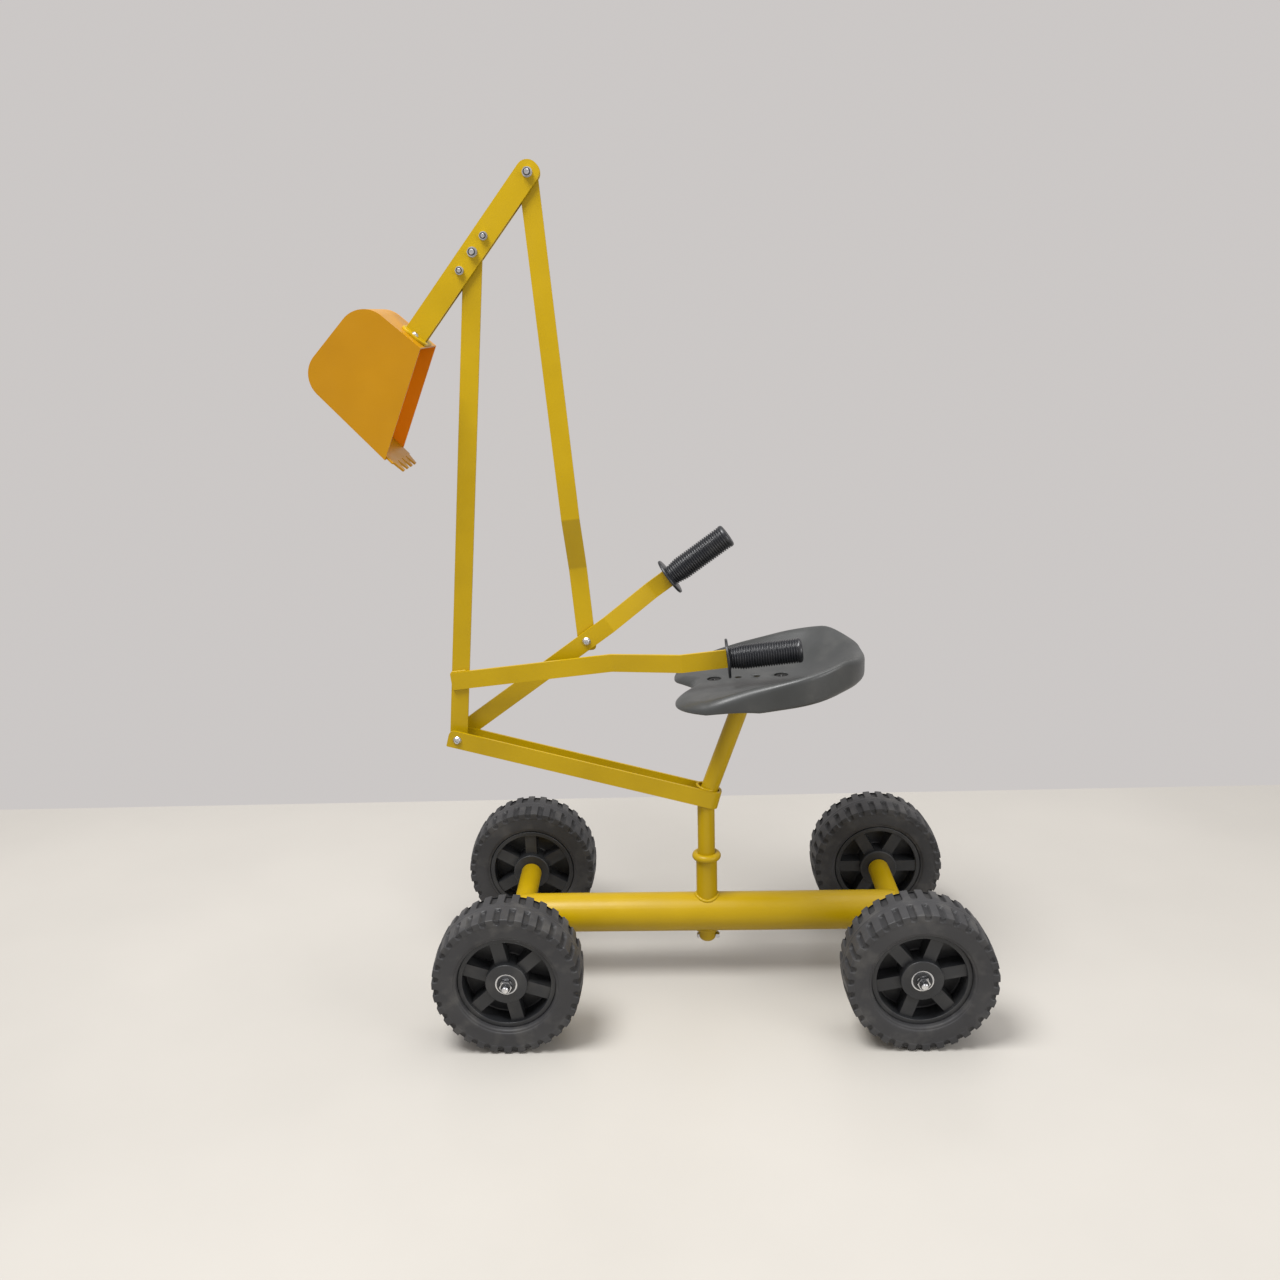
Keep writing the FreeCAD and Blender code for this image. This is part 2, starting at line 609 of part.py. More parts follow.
def slab_under(label, height, depth):
    """Slab of the given depth under the surface height(x, y), wider than the seat."""
    xs = [dim("seat_front") - 10 + 16.0 * i for i in range(17)]
    ys = [-128.0 + 16.0 * j for j in range(17)]
    surface = Part.BSplineSurface()
    surface.interpolate([[Vector(x, y, height(x, y)) for y in ys] for x in xs])
    slab = doc.addObject("Part::Feature", label)
    slab.Shape = surface.toShape().extrude(Vector(0, 0, -depth))
    return slab


def seat_outline(inset):
    """Plan of the seat: wide rounded rear, two front lobes with a notch between them."""
    front, rear = dim("seat_front") + inset, dim("seat_rear") - inset
    side = dim("seat_half_width") - inset
    notch = front + dim("seat_notch")
    lobe, hollow = dim("seat_lobe") - inset / 2, dim("seat_hollow")
    tip, inward = dim("seat_lobe_round") - inset, dim("seat_notch_round")
    wide, back = dim("seat_front_round") - inset, dim("seat_rear_round") - inset
    return [
        (front, -side, wide), (front, -lobe, tip), (notch, -hollow, inward), (notch, hollow, inward),
        (front, lobe, tip), (front, side, wide), (rear, side, back), (rear, -side, back)]


def seat_prism(label, inset):
    body = new_body(label)
    sketch = new_sketch(body, "XY_Plane")
    add_outline(sketch, seat_outline(inset))
    pad(body, sketch, "Dims.seat_height * 2", symmetric=False)
    return body


def seat_holes(label, radius, spacing):
    """Pair of upright cylinders on the seat's centre line."""
    half = spacing / 2
    return group(label, [
        cylinder(f"{label}_{index}", radius, "Dims.seat_height * 2", Placement(Vector(x, 0, 0), Rotation()))
        for index, x in enumerate((dim("seat_centre") - half, dim("seat_centre") + half))])


def seat():
    """Dished pan with a skirt all round its edge and four holes on its centre line."""
    pan = common("seat_pan", slab_under("pan_sheet", pan_height, dim("pan_thickness")),
                 seat_prism("seat_plan", 0))
    wall = cut("seat_wall", seat_prism("seat_plan_outer", 0),
               seat_prism("seat_plan_inner", dim("skirt_thickness")))
    band = cut("skirt_band", slab_under("skirt_slab", pan_height, 2 * dim("skirt_depth")),
               slab_under("skirt_below", skirt_foot, 2 * dim("skirt_depth")))
    skirt = common("seat_skirt", band, wall)
    whole = doc.addObject("Part::MultiFuse", "seat_whole")
    whole.Shapes = [pan, skirt]
    bolt_holes = seat_holes("seat_bolt_holes", "Dims.axle_thread / 2 + Dims.seat_hole_gap",
                            dim("seat_bolt_spacing"))
    drain_holes = seat_holes("seat_drain_holes", "Dims.drain_radius", dim("seat_hole_spacing"))
    return cut("seat", whole, group("seat_openings", [bolt_holes, drain_holes]))


def seat_plate():
    """Steel plate on top of the post, under the pan."""
    length, width = dim("seat_plate_length"), dim("seat_plate_width")
    body = new_body("seat_plate")
    sketch = new_sketch(body, "XY_Plane")
    add_outline(sketch, [(-length / 2, -width / 2, 8), (length / 2, -width / 2, 8),
                         (length / 2, width / 2, 8), (-length / 2, width / 2, 8)])
    for x in (-dim("seat_bolt_spacing") / 2, dim("seat_bolt_spacing") / 2):
        add_circle(sketch, x, 0, "Dims.axle_thread / 2")
    pad(body, sketch, "Dims.seat_plate_thickness", symmetric=False)
    body.Placement = seat_plane(PLATE_UNDERSIDE)
    return body


def seat_fasteners():
    """Two button-head bolts through the pan and the plate, with nuts underneath."""
    bolts, nuts = [], []
    for index, offset in enumerate((-dim("seat_bolt_spacing") / 2, dim("seat_bolt_spacing") / 2)):
        bolt = button_bolt(f"seat_bolt_{index}", "axle_thread", PLATE_UNDERSIDE + 10)
        bolt.Placement = seat_plane(-dim("seat_bolt_lift")) * Placement(Vector(offset, 0, 0), Rotation())
        nut = lock_nut(f"seat_nut_{index}", "axle_thread")
        nut.Placement = (seat_plane(PLATE_UNDERSIDE)
                         * Placement(Vector(offset, 0, 0), Rotation(Vector(1, 0, 0), 180)))
        bolts.append(bolt)
        nuts.append(nut)
    return [group("seat_bolts", bolts), group("seat_nuts", nuts)]


# ---------------------------------------------------------------- boom, levers and push rod

def boom():
    """Straight flat bar with round ends, drilled for the front pivot and the arm's pivot."""
    body = new_body("boom")
    sketch = new_sketch(body, "XZ_Plane")
    end = dim("boom_length") + HALF_BAR
    add_outline(sketch, [(-HALF_BAR, -HALF_BAR, HALF_BAR), (end, -HALF_BAR, HALF_BAR),
                         (end, HALF_BAR, HALF_BAR), (-HALF_BAR, HALF_BAR, HALF_BAR)])
    add_circle(sketch, 0, 0, HOLE)
    add_circle(sketch, dim("boom_length"), 0, HOLE)
    pad(body, sketch, "Dims.bar_thickness")
    return side_place(body, FRONT_PIVOT, 0, dim("boom_angle"))


def jogged_bar(label, path, start_round, end_round, holes):
    """Flat bar that follows a stepped path across, with its ends rounded in the side view."""
    bent = new_body(label + "_bent")
    plan = new_sketch(bent, "XY_Plane")
    bends = [(x, y, 0 if index in (0, len(path) - 1) else dim("bend_radius"))
             for index, (x, y) in enumerate(path)]
    add_outline(plan, strip(bends, HALF_THICK, HALF_THICK))
    pad(bent, plan, "Dims.bar_width")
    start, end = path[0][0], path[-1][0]
    outline = new_body(label + "_outline")
    side = new_sketch(outline, "XZ_Plane")
    add_outline(side, [(start, -HALF_BAR, start_round), (end, -HALF_BAR, end_round),
                       (end, HALF_BAR, end_round), (start, HALF_BAR, start_round)])
    for x, radius in holes:
        add_circle(side, x, 0, radius)
    pad(outline, side, "Dims.boom_length")
    return common(label, bent, outline)


def left_handle():
    """Flat bar welded on the boom's left face; it jogs outwards and carries the left grip."""
    level = -dim("bar_thickness")
    outer = level - dim("left_jog")
    path = [(-HALF_BAR, level), (dim("left_jog_start"), level), (dim("left_jog_end"), outer),
            (dim("hand_bar_end"), outer)]
    bar = jogged_bar("left_handle", path, 1, 1, [])
    return side_place(bar, along(FRONT_PIVOT, dim("boom_angle"), dim("handle_height")), 0,
                      dim("handle_angle"))


def control_lever():
    """Right-hand lever outside the fork: it turns on the front pivot and pulls the push rod."""
    outer = LEVER_Y + dim("right_jog")
    path = [(-HALF_BAR, LEVER_Y), (dim("right_jog_start"), LEVER_Y), (dim("right_jog_end"), outer),
            (dim("hand_bar_end"), outer)]
    bar = jogged_bar("control_lever", path, HALF_BAR, 1,
                     [(0, HOLE), (dim("lever_arm"), "Dims.pivot_bolt / 2")])
    return side_place(bar, FRONT_PIVOT, 0, dim("lever_angle"))


def grip(label, start, across, angle):
    """Moulded grip with a flange at its inner end, closed at the tip, pushed over the bar."""
    length, neck, tip = dim("grip_length"), dim("grip_neck_radius"), dim("grip_tip_radius")
    flange, thin = dim("grip_flange_radius"), dim("flange_thickness")
    body = turned(label, [
        (0, 0, 0), (flange, 0, 1.2), (flange, thin, 1.2), (neck, thin, 1), (tip, thin + 14, 6),
        (tip, length, 4), (0, length, 0)])
    slot = new_sketch(body, "XY_Plane", dim("hand_bar_end") - dim("grip_start"))
    add_outline(slot, [(-HALF_BAR, -HALF_THICK, 0), (HALF_BAR, -HALF_THICK, 0),
                       (HALF_BAR, HALF_THICK, 0), (-HALF_BAR, HALF_THICK, 0)])
    pocket(body, slot, "Dims.grip_length", symmetric=False)
    point = along(start, angle, dim("grip_start"))
    body.Placement = Placement(Vector(point[0], across, point[1]),
                               Rotation(Vector(0, -1, 0), angle) * Rotation(Vector(0, 1, 0), 90))
    return body


def push_rod():
    """Flat bar from the bucket arm down to the lever, jogged to pass behind the lever."""
    path = [(-HALF_BAR, 0.0), (dim("rod_jog_start"), 0.0), (dim("rod_jog_end"), ROD_LOW_Y),
            (ROD_LENGTH + dim("rod_foot_margin"), ROD_LOW_Y)]
    bar = jogged_bar("push_rod", path, HALF_BAR, 5,
                     [(0, "Dims.pivot_bolt / 2 + Dims.rod_hole_gap"), (ROD_LENGTH, HOLE)])
    return side_place(bar, ARM_TOP, 0, heading(ARM_TOP, ROD_FOOT))


def rod_fasteners():
    """Bolt, washer and nut that hold the rod's foot on the lever."""
    head_y = LEVER_Y - HALF_THICK
    seat = ROD_LOW_Y + HALF_THICK + dim("face_gap")
    reach = seat - head_y + dim("washer_thickness") + dim("pivot_bolt") * 1.1
    bolt = axis_place(button_bolt("rod_bolt", "pivot_bolt", reach), ROD_FOOT, head_y, NEAR)
    ring = axis_place(washer("rod_washer", "Dims.pivot_bolt / 2", "Dims.pivot_bolt"), ROD_FOOT, seat, FAR)
    nut = axis_place(lock_nut("rod_nut", "pivot_bolt"), ROD_FOOT, seat + dim("washer_thickness"), FAR)
    return [bolt, ring, nut]


# ---------------------------------------------------------------- bucket arm and bucket

def arm_sites():
    """The four bolts across the arm: name, thread and distance from the boom's top."""
    return (("boom", "pivot_bolt", 0.0), ("rod", "pivot_bolt", dim("arm_length")),
            ("lower_stop", "stop_bolt", -dim("lower_stop")), ("upper_stop", "stop_bolt", dim("upper_stop")))


def bucket_arm():
    """U-shaped channel: its web faces forwards and is cut back round the rod's pivot."""
    half, inner = dim("channel_height") / 2, dim("channel_height") / 2 - dim("sheet")
    tip = dim("arm_length") + half
    tilt = math.radians(dim("bucket_angle") - 90 - dim("arm_angle"))
    foot = [along_bucket_top(side * half, tilt) for side in (-1, 1)]
    body = new_body("bucket_arm")
    outline = new_sketch(body, "XZ_Plane")
    add_outline(outline, [(foot[0], -half, 0), (tip, -half, half - 0.2), (tip, half, half - 0.2),
                          (foot[1], half, 0)])
    for _, size, distance in arm_sites():
        add_circle(outline, distance, 0, f"Dims.{size} / 2")
    pad(body, outline, "Dims.channel_width")
    cavity = new_sketch(body, "XZ_Plane")
    web_end = dim("arm_length") - 3
    add_outline(cavity, [(min(foot) - 5, -half - 5, 0), (tip + 5, -half - 5, 0), (tip + 5, half + 5, 0),
                         (web_end, half + 5, 0), (web_end, inner, 0), (min(foot) - 5, inner, 0)])
    pocket(body, cavity, "Dims.channel_width - 2 * Dims.sheet")
    return side_place(body, BOOM_TOP, 0, dim("arm_angle"))


def along_bucket_top(offset, tilt):
    """Where the arm's edge at an offset from its centre line meets the foot's outer face."""
    turn = math.radians(dim("arm_angle"))
    dx, dz = BUCKET_CORNER[0] - BOOM_TOP[0], BUCKET_CORNER[1] - BOOM_TOP[1]
    corner_along = dx * math.cos(turn) + dz * math.sin(turn)
    corner_across = -dx * math.sin(turn) + dz * math.cos(turn)
    face = corner_along + dim("foot_thickness") / math.cos(tilt)
    return face + (offset - corner_across) * -math.tan(tilt)


def arm_fasteners():
    """Pivot bolts, stop bolts, washers and nuts across the arm; the nuts face the rider's left."""
    half = dim("channel_width") / 2
    bolts = {"pivot_bolt": [], "stop_bolt": []}
    washers, nuts = [], []
    for name, size, distance in arm_sites():
        point = along(BOOM_TOP, dim("arm_angle"), distance)
        reach = 2 * half + dim("washer_thickness") + dim(size) * 1.1
        bolts[size].append(axis_place(button_bolt(f"bolt_{name}", size, reach), point, half, FAR))
        ring = washer(f"washer_{name}", f"Dims.{size} / 2", f"Dims.{size} * 0.97")
        washers.append(axis_place(ring, point, -half, NEAR))
        nuts.append(axis_place(lock_nut(f"nut_{name}", size), point,
                               -half - dim("washer_thickness"), NEAR))
    return [group("arm_pivot_bolts", bolts["pivot_bolt"]), group("arm_stop_bolts", bolts["stop_bolt"]),
            group("arm_washers", washers), group("arm_nuts", nuts)]


def bucket_corners():
    """Side outline of the bucket: mouth edge, top, back and floor, from its top mouth corner."""
    top, back = dim("bucket_top"), dim("bucket_back")
    return [(0.0, 0.0, 0.0), (top, 0.0, dim("bucket_round")), (top + 3.3, back, dim("bucket_round")),
            (-dim("bucket_mouth_reach"), dim("bucket_mouth_drop"), 0.0)]


def bucket_side(label, direction):
    body = new_body(label)
    sketch = new_sketch(body, "XZ_Plane")
    add_outline(sketch, bucket_corners())
    pad(body, sketch, "Dims.sheet")
    across = direction * (dim("bucket_width") - dim("sheet")) / 2
    return side_place(body, BUCKET_CORNER, across, dim("bucket_angle"))


def foot_screw_sites():
    """Local x and y of the two screws in the foot."""
    x = dim("foot_edge") + dim("foot_length") / 2
    return [(x, -dim("foot_screw_y")), (x, dim("foot_screw_y"))]


def bucket_wrap():
    """One sheet bent round the bucket's top, back and floor, between the two side plates."""
    body = new_body("bucket_wrap")
    sketch = new_sketch(body, "XZ_Plane")
    add_outline(sketch, strip(bucket_corners(), dim("sheet"), 0.0))
    pad(body, sketch, "Dims.bucket_width - 2 * Dims.sheet")
    holes = new_sketch(body, "XY_Plane")
    for x, y in foot_screw_sites():
        add_circle(holes, x, y, "Dims.stop_bolt / 2")
    pocket(body, holes, "Dims.sheet", symmetric=False, reverse=True)
    return side_place(body, BUCKET_CORNER, 0, dim("bucket_angle"))


def bucket_foot():
    """Plate with round ears across the bucket's top, which carries the arm."""
    start, end, half = dim("foot_edge"), dim("foot_edge") + dim("foot_length"), dim("foot_width") / 2
    body = new_body("bucket_foot")
    sketch = new_sketch(body, "XY_Plane", -dim("foot_thickness"))
    add_outline(sketch, [(start, -half, 12), (end, -half, 12), (end, half, 12), (start, half, 12)])
    for x, y in foot_screw_sites():
        add_circle(sketch, x, y, "Dims.stop_bolt / 2")
    pad(body, sketch, "Dims.foot_thickness", symmetric=False)
    return side_place(body, BUCKET_CORNER, 0, dim("bucket_angle"))


def foot_fasteners():
    """Two screws through the foot into the bucket, with lock nuts inside it."""
    frame = Placement(Vector(BUCKET_CORNER[0], 0, BUCKET_CORNER[1]),
                      Rotation(Vector(0, -1, 0), dim("bucket_angle")))
    screws, nuts = [], []
    outside = Rotation(Vector(1, 0, 0), 180)
    for index, (x, y) in enumerate(foot_screw_sites()):
        screw = button_bolt(f"foot_screw_{index}", "stop_bolt", dim("foot_thickness") + dim("sheet") + 6)
        screw.Placement = frame * Placement(Vector(x, y, -dim("foot_thickness")), outside)
        nut = lock_nut(f"foot_nut_{index}", "stop_bolt")
        nut.Placement = frame * Placement(Vector(x, y, dim("sheet")), Rotation())
        screws.append(screw)
        nuts.append(nut)
    return [group("foot_screws", screws), group("foot_nuts", nuts)]


def bucket_blade():
    """Cutting plate on the bucket's floor with four pointed teeth beyond the mouth."""
    lip, tooth = dim("blade_lip"), dim("tooth_length")
    half = dim("bucket_width") / 2 - dim("sheet")
    outline = [(lip, -half, 0)]
    for k in range(4):
        centre = (k - 1.5) * dim("tooth_pitch")
        outline += [(lip, centre - dim("tooth_root") / 2, 0), (lip + tooth, centre - dim("tooth_tip") / 2, 0),
                    (lip + tooth, centre + dim("tooth_tip") / 2, 0), (lip, centre + dim("tooth_root") / 2, 0)]
    outline += [(lip, half, 0), (-dim("blade_inside"), half, 0), (-dim("blade_inside"), -half, 0)]
    body = new_body("bucket_blade")
    sketch = new_sketch(body, "XY_Plane", dim("sheet"))
    add_outline(sketch, outline)
    pad(body, sketch, "Dims.blade_thickness", symmetric=False)
    corners = [along(along(BUCKET_CORNER, dim("bucket_angle"), x), dim("bucket_angle") + 90, z)
               for x, z, _ in bucket_corners()]
    return side_place(body, corners[3], 0, heading(corners[2], corners[3]))


# ---------------------------------------------------------------- assembly

def build():
    """Every sub-part of the digger, each with its own label and place."""
    parts = [main_tube(), cross_tube("front", -1), cross_tube("rear", 1), cross_tube_plugs(),
             axle("front", -1), axle("rear", 1), axle_washers(), axle_nuts(), socket_tube()]
    for corner in CORNERS:
        parts += wheel(corner)
    outside = post_outside()
    parts += [seat_post(outside), thrust_ring(outside), base_arm(outside)]
    parts += retaining_fasteners() + front_pivot() + [seat_plate(), seat()] + seat_fasteners()
    handle_root = along(FRONT_PIVOT, dim("boom_angle"), dim("handle_height"))
    parts += [boom(), left_handle(),
              grip("left_grip", handle_root, -dim("bar_thickness") - 40.0, dim("handle_angle"))]
    parts += [control_lever(), grip("right_grip", FRONT_PIVOT, LEVER_Y + 19.5, dim("lever_angle"))]
    parts += rod_fasteners() + [push_rod(), bucket_arm()] + arm_fasteners()
    parts += [bucket_foot()] + foot_fasteners()
    parts += [bucket_side("bucket_side_left", -1), bucket_side("bucket_side_right", 1),
              bucket_wrap(), bucket_blade()]
    return parts


def check(parts):
    """Stop if any object failed or any sub-part has no valid shape."""
    for item in doc.Objects:
        if {"Invalid", "Error"} & set(item.State):
            raise ValueError(f"{item.Label} failed: {item.State}")
    for part in parts:
        if part.Shape.isNull() or not part.Shape.isValid() or not part.Shape.Solids:
            raise ValueError(f"{part.Label} has no valid solid")


PARTS = build()
doc.recompute()
check(PARTS)
os.makedirs("parts", exist_ok=True)
for part in PARTS:
    part.Shape.exportStep(f"parts/{part.Label}.step")
    bounds = part.Shape.BoundBox
    print(f"{part.Label:20s} solids {len(part.Shape.Solids)} volume {part.Shape.Volume:10.0f} "
          f"x {bounds.XMin:7.1f} {bounds.XMax:7.1f} y {bounds.YMin:7.1f} {bounds.YMax:7.1f} "
          f"z {bounds.ZMin:7.1f} {bounds.ZMax:7.1f}")
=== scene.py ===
import json
import math

import bpy
import numpy as np
from mathutils import Matrix, Vector


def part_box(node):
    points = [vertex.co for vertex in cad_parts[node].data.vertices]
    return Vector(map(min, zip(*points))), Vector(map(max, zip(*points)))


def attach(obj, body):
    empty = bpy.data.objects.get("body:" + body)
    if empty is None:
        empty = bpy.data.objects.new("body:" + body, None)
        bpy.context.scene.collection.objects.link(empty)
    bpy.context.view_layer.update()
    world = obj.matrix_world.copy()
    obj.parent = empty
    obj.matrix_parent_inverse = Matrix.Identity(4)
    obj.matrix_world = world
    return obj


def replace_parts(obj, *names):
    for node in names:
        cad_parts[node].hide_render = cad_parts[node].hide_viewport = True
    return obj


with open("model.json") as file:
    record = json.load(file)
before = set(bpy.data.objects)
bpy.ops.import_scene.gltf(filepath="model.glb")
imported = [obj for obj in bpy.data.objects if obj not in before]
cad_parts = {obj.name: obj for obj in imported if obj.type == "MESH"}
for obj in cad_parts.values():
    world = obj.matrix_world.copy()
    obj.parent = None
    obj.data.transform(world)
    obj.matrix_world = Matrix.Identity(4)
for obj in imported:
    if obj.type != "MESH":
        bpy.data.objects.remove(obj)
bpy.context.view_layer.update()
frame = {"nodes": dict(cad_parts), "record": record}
nodes = frame["nodes"]
MM = 0.001


# ---------------------------------------------------------------- materials

DUST = (0.2, 0.19, 0.17)
# Painted shade: the near-black that the tyres' grooves are darkened towards where they are deep.
GROOVE_PAINTED_SHADE = (0.006, 0.006, 0.007)
# Painted light: a brighter, deeper orange for the inner faces of the bucket's sides, in place of the light
# that bounces about inside the bucket.
BUCKET_INSIDE_PAINTED_LIGHT = (0.92, 0.27, 0.002)
BUCKET_INNER_FACE = 0.0484  # half of the bucket's width, just outside the inner faces of its sides


def shader(name):
    """New material: returns it with its node tree, its Principled shader and object coordinates."""
    made = bpy.data.materials.new(name)
    made.use_nodes = True
    tree = made.node_tree
    principled = tree.nodes["Principled BSDF"]
    place = tree.nodes.new("ShaderNodeTexCoord").outputs["Object"]
    return made, tree, principled, place


def noise(tree, place, scale, detail=3.0, stretch=(1, 1, 1)):
    """Noise value, its size given by the scale in waves per metre."""
    mapping = tree.nodes.new("ShaderNodeMapping")
    mapping.inputs["Scale"].default_value = stretch
    tree.links.new(place, mapping.inputs["Vector"])
    node = tree.nodes.new("ShaderNodeTexNoise")
    node.inputs["Scale"].default_value = scale
    node.inputs["Detail"].default_value = detail
    tree.links.new(mapping.outputs["Vector"], node.inputs["Vector"])
    return node.outputs["Fac"]


def ramp(tree, value, stops):
    """Colour ramp through (position, colour) stops."""
    node = tree.nodes.new("ShaderNodeValToRGB")
    elements = node.color_ramp.elements
    while len(elements) < len(stops):
        elements.new(0.5)
    for element, (position, colour) in zip(elements, stops):
        element.position = position
        element.color = (*colour, 1)
    tree.links.new(value, node.inputs["Fac"])
    return node.outputs["Color"]


def spread(tree, value, low, high, start=0.35, end=0.65):
    """Maps a noise value from its usual spread to low..high."""
    node = tree.nodes.new("ShaderNodeMapRange")
    node.inputs["From Min"].default_value = start
    node.inputs["From Max"].default_value = end
    node.inputs["To Min"].default_value = low
    node.inputs["To Max"].default_value = high
    tree.links.new(value, node.inputs["Value"])
    return node.outputs["Result"]


def bump(tree, principled, layers):
    """Chains bump layers of (value, strength, distance in metres) into the shader's normal."""
    normal = None
    for value, strength, distance in layers:
        node = tree.nodes.new("ShaderNodeBump")
        node.inputs["Strength"].default_value = strength
        node.inputs["Distance"].default_value = distance
        tree.links.new(value, node.inputs["Height"])
        if normal is not None:
            tree.links.new(normal, node.inputs["Normal"])
        normal = node.outputs["Normal"]
    tree.links.new(normal, principled.inputs["Normal"])


def mix(tree, factor, first, second):
    """Mixes two colours by a factor."""
    node = tree.nodes.new("ShaderNodeMix")
    node.data_type = "RGBA"
    tree.links.new(factor, node.inputs["Factor"])
    for socket, colour in ((node.inputs["A"], first), (node.inputs["B"], second)):
        if isinstance(colour, tuple):
            socket.default_value = (*colour, 1)
        else:
            tree.links.new(colour, socket)
    return node.outputs["Result"]


def paint(name, deep, middle, light, dust):
    """Powder coat: soft tone changes, orange peel, and rare dull specks."""
    made, tree, principled, place = shader(name)
    tone = ramp(tree, noise(tree, place, 9, 4), [(0.3, deep), (0.52, middle), (0.75, light)])
    specks = spread(tree, noise(tree, place, 420, 2), 0, 0.5, 0.69, 0.75)
    tree.links.new(mix(tree, specks, tone, dust), principled.inputs["Base Color"])
    tree.links.new(spread(tree, noise(tree, place, 30, 3), 0.30, 0.42), principled.inputs["Roughness"])
    principled.inputs["Specular IOR Level"].default_value = 0.28
    bump(tree, principled, [(noise(tree, place, 700, 2), 0.10, 0.0004),
                            (noise(tree, place, 60, 2), 0.06, 0.001)])
    return made


def moulded(name, deep, light, rough_low, rough_high, grain, grain_depth, dusting):
    """Moulded plastic or rubber: fine grain, faint flow marks and a little dust."""
    made, tree, principled, place = shader(name)
    tone = ramp(tree, noise(tree, place, 14, 4), [(0.32, deep), (0.7, light)])
    dirt = spread(tree, noise(tree, place, 38, 6), 0, dusting, 0.5, 0.7)
    tree.links.new(mix(tree, dirt, tone, DUST), principled.inputs["Base Color"])
    tree.links.new(spread(tree, noise(tree, place, 22, 4), rough_low, rough_high),
                   principled.inputs["Roughness"])
    bump(tree, principled, [(noise(tree, place, grain, 2), 0.35, grain_depth),
                            (noise(tree, place, 35, 2), 0.08, 0.001)])
    return made


def metal(name, deep, light, rough_low, rough_high, stretch):
    """Plated or blackened steel with a fine directional finish."""
    made, tree, principled, place = shader(name)
    tree.links.new(ramp(tree, noise(tree, place, 160, 4), [(0.35, deep), (0.65, light)]),
                   principled.inputs["Base Color"])
    tree.links.new(spread(tree, noise(tree, place, 900, 3, stretch), rough_low, rough_high),
                   principled.inputs["Roughness"])
    principled.inputs["Metallic"].default_value = 1.0
    bump(tree, principled, [(noise(tree, place, 1400, 2, stretch), 0.12, 0.0002)])
    return made


def darker_grooves(made):
    """Darkens a material where its mesh says that a groove is deep: painted shade in the grooves."""
    tree = made.node_tree
    groove = tree.nodes.new("ShaderNodeAttribute")
    groove.attribute_name = "groove"
    base = tree.nodes["Principled BSDF"].inputs["Base Color"]
    tree.links.new(mix(tree, groove.outputs["Fac"], base.links[0].from_socket, GROOVE_PAINTED_SHADE), base)
    return made


def inner_painted_light(made, colour, middle):
    """Gives a material another base colour nearer the XZ plane than a distance in metres, to paint light onto
    the inner faces of the bucket's sides.
    """
    tree = made.node_tree
    place = next(n for n in tree.nodes if n.bl_idname == "ShaderNodeTexCoord").outputs["Object"]
    parts = tree.nodes.new("ShaderNodeSeparateXYZ")
    tree.links.new(place, parts.inputs["Vector"])
    size = tree.nodes.new("ShaderNodeMath")
    size.operation = "ABSOLUTE"
    tree.links.new(parts.outputs["Y"], size.inputs[0])
    outside = spread(tree, size.outputs["Value"], 0, 1, middle - 0.0003, middle + 0.0003)
    base = tree.nodes["Principled BSDF"].inputs["Base Color"]
    tree.links.new(mix(tree, outside, colour, base.links[0].from_socket), base)
    return made


MATERIALS = {
    "yellow_paint": paint("yellow_paint", (0.365, 0.236, 0.0006), (0.405, 0.264, 0.0008),
                          (0.445, 0.294, 0.0015), (0.30, 0.21, 0.02)),
    "orange_paint": paint("orange_paint", (0.37, 0.165, 0.0005), (0.41, 0.188, 0.0007), (0.45, 0.212, 0.001),
                          (0.30, 0.15, 0.02)),
    # The bucket's sides: orange paint outside, and painted light in a brighter orange on their inner faces.
    "bucket_side_paint_and_painted_light": inner_painted_light(
        paint("bucket_side_paint_and_painted_light", (0.35, 0.158, 0.0005), (0.385, 0.178, 0.0007), (0.42, 0.198, 0.001),
              (0.29, 0.14, 0.02)), BUCKET_INSIDE_PAINTED_LIGHT, BUCKET_INNER_FACE),
    "seat_plastic": moulded("seat_plastic", (0.030, 0.032, 0.032), (0.044, 0.046, 0.046), 0.34, 0.48,
                            900, 0.0002, dusting=0.06),
    "rim_plastic": moulded("rim_plastic", (0.013, 0.014, 0.016), (0.022, 0.023, 0.025), 0.36, 0.5,
                           1000, 0.0002, dusting=0.08),
    # Tyre rubber, with painted shade darkening its grooves.
    "tyre_rubber": darker_grooves(
        moulded("tyre_rubber", (0.019, 0.019, 0.021), (0.034, 0.034, 0.036), 0.48, 0.68,
                650, 0.0004, dusting=0.16)),
    "grip_rubber": moulded("grip_rubber", (0.008, 0.009, 0.012), (0.014, 0.015, 0.018), 0.26, 0.38,
                           1100, 0.0002, dusting=0.05),
    "black_steel": metal("black_steel", (0.02, 0.02, 0.02), (0.05, 0.05, 0.05), 0.35, 0.5, (1, 1, 1)),
    "zinc_steel": metal("zinc_steel", (0.52, 0.53, 0.56), (0.74, 0.74, 0.74), 0.18, 0.34, (1, 1, 6)),
}


# ---------------------------------------------------------------- mesh helpers

def mesh_piece(name, points, faces, material, body):
    """Smooth mesh piece riding on a body, with one material."""
    mesh = bpy.data.meshes.new(name)
    mesh.from_pydata([tuple(p) for p in points], [], faces)
    mesh.polygons.foreach_set("use_smooth", [True] * len(mesh.polygons))
    mesh.materials.append(MATERIALS[material])
    made = bpy.data.objects.new(name, mesh)
    bpy.context.scene.collection.objects.link(made)
    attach(made, body)
    return made


def grid_faces(rows, columns, wrap_rows=False):
    """Quads of a rows x columns lattice of points, closed along its columns."""
    faces = []
    for i in range(rows if wrap_rows else rows - 1):
        for j in range(columns):
            a, b = i, (i + 1) % rows
            c, d = j, (j + 1) % columns
            faces.append((a * columns + c, a * columns + d, b * columns + d, b * columns + c))
    return faces


def smoothstep(low, high, value):
    """Smooth step from 0 at low to 1 at high."""
    t = np.clip((value - low) / (high - low), 0, 1)
    return t * t * (3 - 2 * t)


